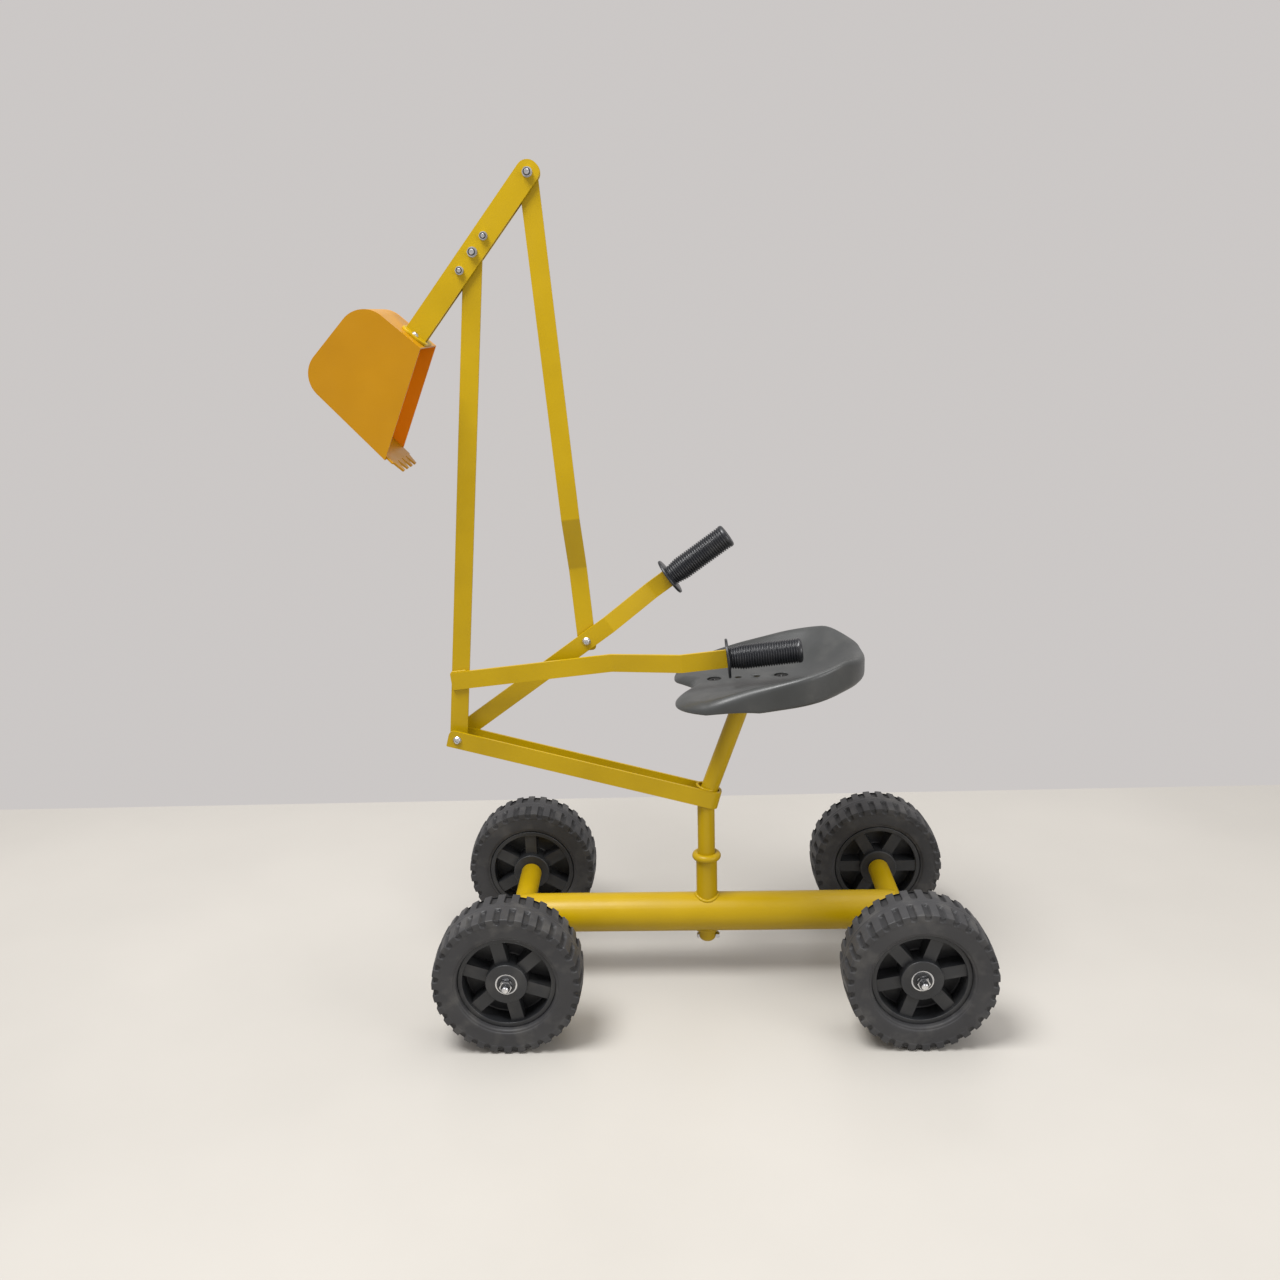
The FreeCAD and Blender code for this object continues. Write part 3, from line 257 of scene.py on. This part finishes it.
def lathe(profile, segments):
    """Points and faces of a profile of (radius, height) turned about +Z and capped at its ends, in mm."""
    turn = np.arange(segments) * 2 * math.pi / segments
    points = [(r * math.cos(t), r * math.sin(t), h) for r, h in profile for t in turn]
    faces = grid_faces(len(profile), segments)
    start, end = len(points), len(points) + 1
    points += [(0, 0, profile[0][1]), (0, 0, profile[-1][1])]
    last = (len(profile) - 1) * segments
    for j in range(segments):
        k = (j + 1) % segments
        faces.append((start, k, j))
        faces.append((end, last + j, last + k))
    return points, faces


# Spacing of a bead's rings and length of one scale in mm, and points in a ring.
WELD_STEP, WELD_SCALE, WELD_SIDES = 0.7, 2.6, 10


def weld(name, path, radius, body, closed=False):
    """Weld bead of overlapping scales along a path of points in mm."""
    path = [Vector(p) for p in path]
    if closed:
        path.append(path[0])
    dense = [path[0]]
    for a, b in zip(path, path[1:]):
        steps = max(int((b - a).length / WELD_STEP), 1)
        dense += [a.lerp(b, (i + 1) / steps) for i in range(steps)]
    rings = []
    travelled = 0.0
    for i, point in enumerate(dense):
        before, after = dense[max(i - 1, 0)], dense[min(i + 1, len(dense) - 1)]
        along = (after - before).normalized()
        if i:
            travelled += (point - dense[i - 1]).length
        side = along.cross(Vector((0.31, 0.22, 0.92))).normalized()
        other = along.cross(side)
        scale = (travelled / WELD_SCALE) % 1.0
        size = radius * (0.86 + 0.22 * scale + 0.07 * math.sin(travelled * 0.9))
        if not closed:
            size *= min(1.0, 0.35 + 0.3 * min(i, len(dense) - 1 - i))
        rings.append([point + size * (math.cos(t) * side + math.sin(t) * other)
                      for t in (2 * math.pi * k / WELD_SIDES for k in range(WELD_SIDES))])
    points = [p * MM for ring in rings for p in ring]
    faces = grid_faces(len(rings), WELD_SIDES)
    faces.append(tuple(reversed(range(WELD_SIDES))))
    faces.append(tuple(range((len(rings) - 1) * WELD_SIDES, len(rings) * WELD_SIDES)))
    mesh_piece(name, points, faces, "yellow_paint", body)


EDGE_ROUND, SHARP_ANGLE, MERGE_WITHIN = 0.5, 40, 0.01


def soften(name):
    """Rounds the sharp edges of a sheet or bar a little, so that they catch the light."""
    thing = nodes[name]
    merge = thing.modifiers.new("merge", "WELD")
    merge.merge_threshold = MERGE_WITHIN * MM
    bevel = thing.modifiers.new("edges", "BEVEL")
    bevel.width = EDGE_ROUND * MM
    bevel.segments = 2
    bevel.limit_method = "ANGLE"
    bevel.angle_limit = math.radians(SHARP_ANGLE)
    bevel.use_clamp_overlap = True
    normals = thing.modifiers.new("normals", "WEIGHTED_NORMAL")
    normals.keep_sharp = False


# ---------------------------------------------------------------- carried-over CAD parts

for part in frame["record"]["subparts"]:
    materials = nodes[part["node"]].data.materials
    materials.clear()
    materials.append(MATERIALS[part["material_slot"]])

# The bucket's sides take the material with painted light on their inner faces.
for name in ("bucket_side_left", "bucket_side_right"):
    nodes[name].data.materials[0] = MATERIALS["bucket_side_paint_and_painted_light"]

for name in ("base_arm", "boom", "left_handle", "control_lever", "push_rod", "bucket_foot",
             "bucket_side_left", "bucket_side_right", "bucket_wrap", "bucket_blade", "seat_plate"):
    soften(name)


# ---------------------------------------------------------------- tyres

TYRE_PROFILE = [  # (distance from the middle plane, radius), from the near bead over the tread
    (27.2, 58.6), (28.6, 59.3), (29.4, 60.6), (29.6, 61.9), (30.3, 62.4), (30.8, 63.3), (31.2, 66.0),
    (31.4, 70.0), (31.5, 76.0), (31.6, 79.0), (32.0, 79.6), (32.1, 82.0), (32.1, 86.6), (31.8, 87.3),
    (31.1, 87.6), (28.0, 87.9), (22.0, 88.4), (16.0, 88.8), (10.0, 89.0), (6.0, 89.0), (1.2, 89.0),
    (0.0, 89.35)]
LUGS, LUG_RADIUS = 32, 87.0
# A groove runs across the tread and over the shoulder, from start to end along the section.
GROOVE_START, GROOVE_END, GROOVE_WIDTH, GROOVE_ROUND, GROOVE_WALL = 6.5, 40.0, 7.8, 3.8, 0.4
GROOVE_DEPTH = ((6, 31, 33, 40), (3.6, 3.8, 2.6, 1.4))  # over the distance from the middle of the tread
# Strength of the painted shade at the bottom of the grooves.
GROOVE_SHADE = 0.55
# Where the surface is sampled along one lug's pitch, as shares, and across the section, in mm.
PITCH_SAMPLES = (0, 0.1, 0.17, 0.204, 0.216, 0.228, 0.24, 0.252, 0.3, 0.4, 0.5, 0.6, 0.7, 0.748, 0.76,
                 0.772, 0.784, 0.796, 0.83, 0.9)
ROW_SAMPLES = (0, 0.6, 1.3, 3.5, 5.6, 6.2, 6.8, 7.4, 8.2, 9.2, 10.6, 13, 17, 21, 25, 28, 30, 30.7, 31.1,
               31.5, 31.9, 32.3, 32.8, 33.6, 35, 36.4, 37.6, 38.6, 39.4, 39.9, 40.4, 41.2, 43, 46, 50,
               53, 55, 56, 57, 57.5, 58, 58.5, 59, 59.6, 60.4)


def tyre_mesh():
    """Tyre about +Z with staggered blocks, rounded grooves, a centre band and a parting line, in metres."""
    half = np.array(TYRE_PROFILE)
    full = np.vstack([half, half[-2::-1] * (-1, 1)])
    lengths = np.concatenate([[0], np.cumsum(np.hypot(*np.diff(full, axis=0).T))])
    middle = lengths[-1] / 2
    reaches = np.array([x for x in ROW_SAMPLES if x < middle] + [middle])
    rows = middle + np.concatenate([-reaches[:0:-1], reaches])
    w, r = (np.interp(rows, lengths, full[:, k]) for k in (0, 1))
    slope_w, slope_r = np.gradient(w, rows), np.gradient(r, rows)
    size = np.hypot(slope_w, slope_r)
    normal_w, normal_r = slope_r / size, -slope_w / size
    share = (np.arange(LUGS)[:, None] + np.array(PITCH_SAMPLES)[None, :]).ravel()
    columns, turn = len(share), share / LUGS * 2 * math.pi
    from_middle = np.abs(rows - middle)[:, None]
    pitch = 2 * math.pi * LUG_RADIUS / LUGS
    shift = np.where(rows < middle, 0.0, 0.5)[:, None]
    across = ((share[None, :] + shift) % 1.0 - 0.5) * pitch
    centre, reach = (GROOVE_START + GROOVE_END) / 2, (GROOVE_END - GROOVE_START) / 2
    dx = np.abs(across) - (GROOVE_WIDTH / 2 - GROOVE_ROUND)
    dy = np.abs(from_middle - centre) - (reach - GROOVE_ROUND)
    outside = np.hypot(np.maximum(dx, 0), np.maximum(dy, 0))
    distance = outside + np.minimum(np.maximum(dx, dy), 0) - GROOVE_ROUND
    cut = smoothstep(GROOVE_WALL, -GROOVE_WALL, distance)
    depth = cut * np.interp(from_middle, *GROOVE_DEPTH)
    radius = r[:, None] + normal_r[:, None] * -depth
    offset = w[:, None] + normal_w[:, None] * -depth
    points = np.stack([radius * np.cos(turn), radius * np.sin(turn), np.broadcast_to(offset, radius.shape)],
                      axis=-1).reshape(-1, 3)
    mesh = bpy.data.meshes.new("tyre")
    mesh.from_pydata((points * MM).tolist(), [], grid_faces(len(rows), columns, wrap_rows=True))
    mesh.polygons.foreach_set("use_smooth", [True] * len(mesh.polygons))
    mesh.materials.append(MATERIALS["tyre_rubber"])
    # Painted shade: a mask that darkens the tyre's colour where its grooves are deep.
    groove = mesh.attributes.new("groove", "FLOAT", "POINT")
    groove.data.foreach_set("value", (GROOVE_SHADE * cut).ravel())
    return mesh


tyre_shape = tyre_mesh()
for corner, phase in (("front_left", 10), ("rear_left", 4), ("front_right", 7), ("rear_right", 0)):
    low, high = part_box(f"tyre_{corner}")
    shape = tyre_shape.copy()
    shape.transform(Matrix.Translation((low + high) / 2)
                    @ Matrix.Rotation(math.radians(90), 4, "X")
                    @ Matrix.Rotation(math.radians(phase), 4, "Z"))
    made = bpy.data.objects.new(f"tread_{corner}", shape)
    bpy.context.scene.collection.objects.link(made)
    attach(made, f"wheel_{corner}")
    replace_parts(made, f"tyre_{corner}")


# ---------------------------------------------------------------- grips

HANDLE_LEAN, LEVER_LEAN = 5.75, 35.5
RIB_START, RIB_END, RIB_PITCH = 5.0, 82.0, 3.05
NECK, BULGE, BULGE_REACH = 12.9, 2.1, 12.5  # the grip widens from its neck over this reach
# One rib as (share of the pitch, depth below the outline).
RIB = ((0.0, 1.6), (0.14, 1.4), (0.26, 0.35), (0.38, 0.0), (0.62, 0.0), (0.74, 0.35), (0.86, 1.4))


def grip_profile():
    """Outline of a ribbed grip from its open inner face to its rounded tip, in mm."""
    profile = [(11.5, 0.0), (23.2, 0.0), (23.8, 0.35), (24.0, 1.0), (24.0, 2.0), (23.7, 2.7), (23.0, 3.1),
               (18.0, 3.2), (13.8, 3.5), (NECK, 4.2)]
    height = RIB_START
    while height < RIB_END:
        envelope = NECK + BULGE * min((height - RIB_START) / BULGE_REACH, 1.0)
        profile += [(envelope - drop, height + share * RIB_PITCH) for share, drop in RIB]
        height += RIB_PITCH
    profile += [(14.6, height + 0.3), (15.0, height + 0.9), (15.0, 86.8), (14.6, 88.4), (13.6, 89.5),
                (12.2, 90.0), (9.0, 90.0), (8.4, 89.6), (7.6, 89.2), (3.0, 89.2)]
    return profile


for name, node, body, lean in (("left_ribbed_grip", "left_grip", "boom", HANDLE_LEAN),
                               ("right_ribbed_grip", "right_grip", "lever", LEVER_LEAN)):
    angle = math.radians(lean)
    direction = np.array([math.cos(angle), 0, math.sin(angle)])
    upward = np.array([-math.sin(angle), 0, math.cos(angle)])
    places = np.array([v.co for v in nodes[node].data.vertices], float) / MM
    along, across = places @ direction, places @ upward
    origin = along.min() * direction + (across.min() + across.max()) / 2 * upward
    origin[1] = (places[:, 1].min() + places[:, 1].max()) / 2
    turn = Matrix.Rotation(math.radians(90) - angle, 3, "Y")
    points, faces = lathe(grip_profile(), 72)
    placed = [(turn @ Vector(p) + Vector(origin)) * MM for p in points]
    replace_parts(mesh_piece(name, placed, faces, "grip_rubber", body), node)


# ---------------------------------------------------------------- seat

# Edges of the plan, its corner radii, and the lobes either side of the front notch.
SEAT_FRONT, SEAT_REAR, SEAT_SIDE, SEAT_NOTCH = -37.0, 193.0, 111.0, 21.0
FRONT_ROUND, REAR_ROUND, LOBE, LOBE_ROUND, HOLLOW = 58, 96.0, 40, 28, 12
# Place and slope of the dish, and where the spokes of its mesh meet.
SEAT_CENTRE, SEAT_HEIGHT, SEAT_PITCH, SEAT_HUB = 53.3, 407.0, math.radians(2.5), 66.0
# Thickness of the pan and the skirt, and radii of the rim outside and inside.
PAN, WALL, ROLL, UNDER_ROLL = 4.0, 5.0, 14.0, 9.0
# The sides rise more to the rear, the back curls up, and the front droops.
SIDE_RISE, SIDE_SLOPE, SIDE_START, SIDE_LEAST, SIDE_POWER = 7.5, 0.225, 18.0, 3.0, 2.5
BACK_START, BACK_POWER, FRONT_END, FRONT_DROP = 125.0, 1.5, 12.0, 8.0
RIM_LIFT, RIM_RAMP = 6.3, (-30.0, 60.0)
REAR_DIP, DIP_RAMP = 19.0, (155.0, 200.0)
SKIRT, SKIRT_TAPER, TAPER_END = 30.0, 0.24, 60.0
REAR_SKIRT, SKIRT_RAMP, DIP_EVENED = 11.0, (0.0, 150.0), 0.6
LARGE_HOLES, LARGE_HOLE = (-41.25, 41.25), 8.7
SMALL_HOLES, SMALL_HOLE = (-11.5, 11.5), 4.0


def half_width(x):
    """Half of the seat's width, which shrinks along its round rear corners."""
    behind = max(x - (SEAT_REAR - REAR_ROUND), 0.0)
    return SEAT_SIDE - REAR_ROUND + math.sqrt(REAR_ROUND ** 2 - min(behind, REAR_ROUND) ** 2)


def rear_dip(x):
    """How much lower the rim gets between the rear corners."""
    return REAR_DIP * float(smoothstep(*DIP_RAMP, x))


def rim_rise(x):
    """Height of the dish's rim over its lowest line, lowest at the front and highest in the rear corners."""
    rise = max(SIDE_RISE + SIDE_SLOPE * (x - SIDE_START), SIDE_LEAST)
    return rise + RIM_LIFT * float(smoothstep(*RIM_RAMP, x)) - rear_dip(x)


def back_rise(x):
    """Height of the dish's middle line, which curls up towards the back."""
    return rim_rise(SEAT_REAR) * max((x - BACK_START) / (SEAT_REAR - BACK_START), 0.0) ** BACK_POWER


def pan_height(x, y):
    """Height of the seat's upper face, a dish that rises to its rim, in mm."""
    height = SEAT_HEIGHT + (x - SEAT_CENTRE) * math.tan(SEAT_PITCH) + back_rise(x)
    height += (rim_rise(x) - back_rise(x)) * min(abs(y) / half_width(x), 1.1) ** SIDE_POWER
    if x < FRONT_END:
        height -= FRONT_DROP * ((FRONT_END - x) / (FRONT_END - SEAT_FRONT)) ** 2
    return height


def skirt_depth(x):
    """Depth of the skirt under the rim, deeper to the rear, its foot evening out the rim's dip."""
    depth = SKIRT - SKIRT_TAPER * max(TAPER_END - x, 0.0)
    return depth + REAR_SKIRT * float(smoothstep(*SKIRT_RAMP, x)) - DIP_EVENED * rear_dip(x)


def seat_edge(inset):
    """Rounded plan of the seat at an inset from its edge, always with the same number of points."""
    front, rear, side = SEAT_FRONT + inset, SEAT_REAR - inset, SEAT_SIDE - inset
    notch, lobe = front + SEAT_NOTCH, LOBE - inset / 2
    corners = [
        (front, -side, FRONT_ROUND - inset), (front, -lobe, LOBE_ROUND - inset),
        (notch, -HOLLOW, HOLLOW), (notch, HOLLOW, HOLLOW),
        (front, lobe, LOBE_ROUND - inset), (front, side, FRONT_ROUND - inset),
        (rear, side, REAR_ROUND - inset), (rear, -side, REAR_ROUND - inset)]
    arcs = []
    for i, (x, y, radius) in enumerate(corners):
        here = Vector((x, y))
        before = (Vector(corners[i - 1][:2]) - here).normalized()
        after = (Vector(corners[(i + 1) % 8][:2]) - here).normalized()
        half = before.angle(after) / 2
        reach = radius / math.tan(half)
        centre = here + (before + after).normalized() * (radius / math.sin(half))
        first, last = here + before * reach - centre, here + after * reach - centre
        sweep = first.angle_signed(last)
        count = 30 if radius > 30 else 14
        arcs.append([centre + Matrix.Rotation(-sweep * k / count, 2) @ first for k in range(count + 1)])
    outline = []
    for i, arc in enumerate(arcs):
        outline += arc
        start, end = arc[-1], arcs[(i + 1) % 8][0]
        outline += [start.lerp(end, k / 12) for k in range(1, 12)]
    return outline


def skirt_ring(inset, share):
    """Ring of points at an inset and a share of the skirt's depth below the dish."""
    return [(p.x, p.y, pan_height(p.x, p.y) - share * skirt_depth(p.x)) for p in seat_edge(inset)]


def seat_mesh():
    """Pan with a soft rolled rim and a skirt, hollow underneath, as points in mm and faces."""
    middle = Vector((SEAT_HUB, 0.0))
    shares = [0.04, 0.12, 0.2, 0.28, 0.36, 0.44, 0.52, 0.6, 0.68, 0.76, 0.84, 0.9, 0.95]

    def spokes(edge, share, drop):
        places = [middle + (p - middle) * share for p in edge]
        return [(p.x, p.y, pan_height(p.x, p.y) - drop) for p in places]

    core, under_core = seat_edge(ROLL), seat_edge(WALL + UNDER_ROLL)
    rings = [spokes(core, share, 0.0) for share in shares]
    quarter = [math.pi / 2 * k / 12 for k in range(13)]
    for turn in quarter:
        ring = []
        for p in seat_edge(ROLL * (1 - math.sin(turn))):
            height = min(ROLL, 0.8 * skirt_depth(p.x)) * (1 - math.cos(turn))
            ring.append((p.x, p.y, pan_height(p.x, p.y) - height))
        rings.append(ring)
    for inset, share in ((0.0, 0.9), (0.4, 0.975), (1.4, 1.0), (3.6, 1.0), (4.6, 0.975), (WALL, 0.92)):
        rings.append(skirt_ring(inset, share))
    for turn in quarter[::2]:
        ring = []
        for p in seat_edge(WALL + UNDER_ROLL * (1 - math.cos(turn))):
            height = min(UNDER_ROLL, 0.8 * skirt_depth(p.x) - PAN) * (1 - math.sin(turn))
            ring.append((p.x, p.y, pan_height(p.x, p.y) - PAN - max(height, 0.0)))
        rings.append(ring)
    rings += [spokes(under_core, share, PAN) for share in reversed(shares)]
    columns = len(core)
    points = [p for ring in rings for p in ring]
    faces = grid_faces(len(rings), columns)
    points.append((middle.x, middle.y, pan_height(middle.x, middle.y)))
    points.append((middle.x, middle.y, pan_height(middle.x, middle.y) - PAN))
    last = (len(rings) - 1) * columns
    for j in range(columns):
        k = (j + 1) % columns
        faces.append((len(points) - 2, k, j))
        faces.append((len(points) - 1, last + j, last + k))
    return points, faces


def open_holes(piece, holes):
    """Cuts round holes of (x, radius) through a piece, straight down, in mm."""
    for index, (x, radius) in enumerate(holes):
        bpy.ops.mesh.primitive_cylinder_add(vertices=48, radius=radius * MM, depth=0.1,
                                            location=(x * MM, 0, SEAT_HEIGHT * MM))
        tool = bpy.context.object
        cutter = piece.modifiers.new(f"hole_{index}", "BOOLEAN")
        cutter.operation = "DIFFERENCE"
        cutter.solver = "EXACT"
        cutter.object = tool
        bpy.context.view_layer.update()
        cut = bpy.data.meshes.new_from_object(piece.evaluated_get(bpy.context.evaluated_depsgraph_get()))
        piece.modifiers.clear()
        piece.data = cut
        bpy.data.objects.remove(tool)


points, faces = seat_mesh()
seat = mesh_piece("moulded_seat", [Vector(p) * MM for p in points], faces, "seat_plastic", "upper")
open_holes(seat, [(SEAT_CENTRE + x, LARGE_HOLE) for x in LARGE_HOLES]
           + [(SEAT_CENTRE + x, SMALL_HOLE) for x in SMALL_HOLES])
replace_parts(seat, "seat")


SCREW_SINK = 0.8
SCREW_HEAD = [(2.6, -2.6), (2.6, -0.6), (3.0, -0.3), (6.9, -0.3), (7.6, -0.8), (7.9, -1.6), (7.9, -2.6),
              (4.0, -4.2), (4.0, -16.0)]  # (radius, height), from the bottom of the socket to the shank


def seat_screws():
    """Two dark screws whose flat socket heads sit sunk in the seat's large holes."""
    points, faces = [], []
    for x in (SEAT_CENTRE + hole for hole in LARGE_HOLES):
        own, quads = lathe(SCREW_HEAD, 48)
        turn = Matrix.Rotation(-SEAT_PITCH, 3, "Y")
        at = Vector((x, 0, pan_height(x, 0) - SCREW_SINK))
        faces += [tuple(i + len(points) for i in face) for face in quads]
        points += [(turn @ Vector(p) + at) * MM for p in own]
    return points, faces


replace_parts(mesh_piece("seat_screws", *seat_screws(), "black_steel", "upper"), "seat_bolts")


# ---------------------------------------------------------------- nut collars and hub seals

PIVOT_BOLT, STOP_BOLT, AXLE_THREAD = 6.0, 5.0, 8.0  # thread sizes
PIVOT_NUT_LEAST = 5.2  # half of a nut's width that only the nuts of the pivot bolts reach
WASHER_FACE = 179.5
HUB_SEAL = [(7.0, 0.1), (10.9, 0.1), (11.2, -0.2), (11.2, -1.2), (10.3, -1.2), (10.2, -0.1), (7.0, -0.1)]


def dark_rings(name, centres, section, body):
    """Rings of a closed section of (radius, distance outward) about axes along Y, in mm."""
    points, faces, segments = [], [], 40
    for x, y, z, outward in centres:
        quads = grid_faces(len(section), segments, wrap_rows=True)
        faces += [tuple(i + len(points) for i in face) for face in quads]
        for radius, reach in section:
            for k in range(segments):
                turn = -outward * 2 * math.pi * k / segments
                points.append(Vector((x + radius * math.cos(turn), y + outward * reach,
                                      z + radius * math.sin(turn))) * MM)
    mesh_piece(name, points, faces, "rim_plastic", body)


def nut_places(node, outward):
    """(x, outermost y, z, outward, half width) of each nut of a CAD node on one side of the XZ plane."""
    mesh = nodes[node].data
    keys = [tuple(round(c / MM, 2) for c in v.co) for v in mesh.vertices]
    groups = []
    for face in mesh.polygons:
        own = {keys[i] for i in face.vertices}
        touching = [g for g in groups if g & own]
        groups = [g for g in groups if not g & own] + [own.union(*touching)]
    found = []
    for group in groups:
        places = np.array(sorted(group))
        low, high = places.min(axis=0), places.max(axis=0)
        if low[1] * outward + high[1] * outward < 0:
            continue
        face = high[1] if outward > 0 else low[1]
        found.append(((low[0] + high[0]) / 2, face, (low[2] + high[2]) / 2, outward,
                      (high[0] - low[0]) / 2))
    return found


def collar_section(thread):
    """Section of a lock nut's dark collar round a thread, its heights from the nut's outer face."""
    inner, outer, tall = 0.51 * thread, 0.70 * thread, 0.22 * thread
    return [(inner, 0.0), (inner, 0.28), (outer - 0.25, 0.28), (outer, 0.0), (outer, -tall),
            (outer - 0.5, -tall), (inner + 0.3, -0.1)]


for size, thread in (("pivot", PIVOT_BOLT), ("stop", STOP_BOLT)):
    centres = [place[:4] for place in nut_places("arm_nuts", -1)
               if (place[4] > PIVOT_NUT_LEAST) == (thread == PIVOT_BOLT)]
    dark_rings(f"{size}_nut_collars", centres, collar_section(thread), "arm")
centres = [place[:4] for side in (-1, 1) for place in nut_places("axle_nuts", side)]
dark_rings("axle_nut_collars", centres, collar_section(AXLE_THREAD), "chassis")
dark_rings("hub_seals", [(x, side * WASHER_FACE, z, side) for x, _, z, side in centres], HUB_SEAL, "chassis")


# ---------------------------------------------------------------- weld beads

# Heights of the tubes' axes, the cross tubes' distance from the middle, and radii of the beads' paths.
MAIN_RADIUS, MAIN_AXIS, CROSS_AXIS, CROSS_PLACE = 25.0, 88.0, 89.0, 242.4
SOCKET_WELD, CROSS_WELD, BEAD_GAP = 13.9, 14.3, 0.3
# The handle bar meets the boom at a reach along it from the front pivot.
FRONT_PIVOT, BOOM_LEAN, HANDLE_REACH, HANDLE_FACE = (-310.9, 334.7), 84.77, 75.9, -2.7
BAR_HALF, FORK_LEAN, PLATE_LEAN = 11.4, -15.2, 2.5


def ring_on_tube(radius, sign):
    """Curve where an upright tube meets the main tube, above (+1) or below (-1) its axis."""
    path = []
    for k in range(48):
        turn = 2 * math.pi * k / 48
        y = radius * math.sin(turn)
        path.append((radius * math.cos(turn), y, MAIN_AXIS + sign * math.sqrt(MAIN_RADIUS ** 2 - y * y)))
    return path


weld("weld_socket_top", ring_on_tube(SOCKET_WELD, 1), 2.3, "chassis", closed=True)
weld("weld_socket_foot", ring_on_tube(SOCKET_WELD, -1), 1.6, "chassis", closed=True)
for end, x in (("front", -CROSS_PLACE), ("rear", CROSS_PLACE)):
    for side, y in (("left", -1), ("right", 1)):
        path = []
        for k in range(25):
            turn = math.radians(-85 + 170 * k / 24)
            z = CROSS_AXIS + CROSS_WELD * math.sin(turn)
            path.append((x - math.copysign(CROSS_WELD * math.cos(turn), x),
                         y * math.sqrt((MAIN_RADIUS + BEAD_GAP) ** 2 - (z - MAIN_AXIS) ** 2), z))
        weld(f"weld_{end}_{side}", path, 1.9, "chassis")


def turned_point(origin, angle, along, up):
    """Point in the side view at a distance along and square to a line that leans at an angle."""
    lean = math.radians(angle)
    return (origin[0] + along * math.cos(lean) - up * math.sin(lean),
            origin[1] + along * math.sin(lean) + up * math.cos(lean))


handle_root = turned_point(FRONT_PIVOT, BOOM_LEAN, HANDLE_REACH, 0)
for edge, up in (("top", BAR_HALF), ("bottom", -BAR_HALF)):
    path = []
    for along in range(-10, 11, 2):
        x, z = turned_point(handle_root, HANDLE_LEAN, along, up)
        path.append((x, HANDLE_FACE, z))
    weld(f"weld_handle_{edge}", path, 1.5, "boom")


def sloped_ring(centre, wide, deep, slope):
    """Closed oval round an upright post, its plane sloping along X by an angle in degrees."""
    path = []
    for k in range(40):
        turn = 2 * math.pi * k / 40
        along = wide * math.cos(turn)
        path.append((centre[0] + along, deep * math.sin(turn),
                     centre[1] + along * math.tan(math.radians(slope))))
    return path


weld("weld_fork_top", sloped_ring((1.0, 262.0), 11.8, 11.8, FORK_LEAN), 1.7, "upper", closed=True)
weld("weld_fork_foot", sloped_ring((0.0, 238.6), 11.6, 11.6, FORK_LEAN), 1.7, "upper", closed=True)
weld("weld_seat_plate", sloped_ring((54.9, 397.6), 12.2, 11.8, PLATE_LEAN), 1.9, "upper", closed=True)


# ---------------------------------------------------------------- floor, light and camera

FLOOR_REACH, FLOOR_BACK, BACK_SLANT = 4.0, 0.60, 0.05


def stage_floor():
    """Pale painted floor that ends behind the toy."""
    points = [(-FLOOR_REACH, -FLOOR_REACH, 0), (FLOOR_REACH, -FLOOR_REACH, 0),
              (FLOOR_REACH, FLOOR_BACK + BACK_SLANT, 0), (-FLOOR_REACH, FLOOR_BACK - BACK_SLANT, 0)]
    mesh = bpy.data.meshes.new("floor")
    mesh.from_pydata(points, [], [(0, 1, 2, 3)])
    made, tree, principled, place = shader("floor_paint")
    tone = ramp(tree, noise(tree, place, 1.6, 5), [(0.35, (0.43, 0.412, 0.38)), (0.65, (0.465, 0.445, 0.41))])
    tree.links.new(tone, principled.inputs["Base Color"])
    tree.links.new(spread(tree, noise(tree, place, 5, 4), 0.32, 0.46), principled.inputs["Roughness"])
    bump(tree, principled, [(noise(tree, place, 90, 3), 0.05, 0.0005)])
    mesh.materials.append(made)
    floor = bpy.data.objects.new("floor", mesh)
    bpy.context.scene.collection.objects.link(floor)


def area_light(name, place, target, size, power):
    """Round white studio light at a place in metres, aimed at a target."""
    light = bpy.data.lights.new(name, "AREA")
    light.shape = "DISK"
    light.size = size
    light.energy = power
    holder = bpy.data.objects.new(name, light)
    bpy.context.scene.collection.objects.link(holder)
    holder.location = place
    holder.rotation_euler = (Vector(target) - Vector(place)).to_track_quat("-Z", "Y").to_euler()


stage_floor()
world = bpy.data.worlds.new("studio")
world.use_nodes = True
world.node_tree.nodes["Background"].inputs["Color"].default_value = (0.60, 0.575, 0.565, 1)
world.node_tree.nodes["Background"].inputs["Strength"].default_value = 1.0
bpy.context.scene.world = world
bpy.context.scene.view_settings.view_transform = "Standard"
area_light("key", (-0.9, -0.8, 2.8), (0, 0, 0.4), 1.3, 95)
area_light("top", (0.5, 0.2, 2.8), (0, 0, 0.2), 1.8, 22)
area_light("fill", (1.5, -1.3, 1.0), (-0.2, 0, 0.5), 1.1, 14)

CAMERA_PLACE, YAW, PITCH, CAMERA_ROLL = (-0.0469, -1.4392, 0.8467), -0.0425, 0.262, -0.0311
SENSOR, LENS, SHIFT = 36.0, 34.03828, (0.018672, -0.001875)
camera = bpy.data.objects.new("camera", bpy.data.cameras.new("camera"))
bpy.context.scene.collection.objects.link(camera)
forward = Vector((math.sin(YAW) * math.cos(PITCH), math.cos(YAW) * math.cos(PITCH), -math.sin(PITCH)))
level = Vector((math.cos(YAW), -math.sin(YAW), 0))
upright = level.cross(forward)
right = math.cos(CAMERA_ROLL) * level + math.sin(CAMERA_ROLL) * upright
up = -math.sin(CAMERA_ROLL) * level + math.cos(CAMERA_ROLL) * upright
camera.matrix_world = (Matrix.Translation(CAMERA_PLACE)
                       @ Matrix((right, up, -forward)).transposed().to_4x4())
camera.data.sensor_width = SENSOR
camera.data.lens = LENS
camera.data.shift_x, camera.data.shift_y = SHIFT
bpy.context.scene.camera = camera
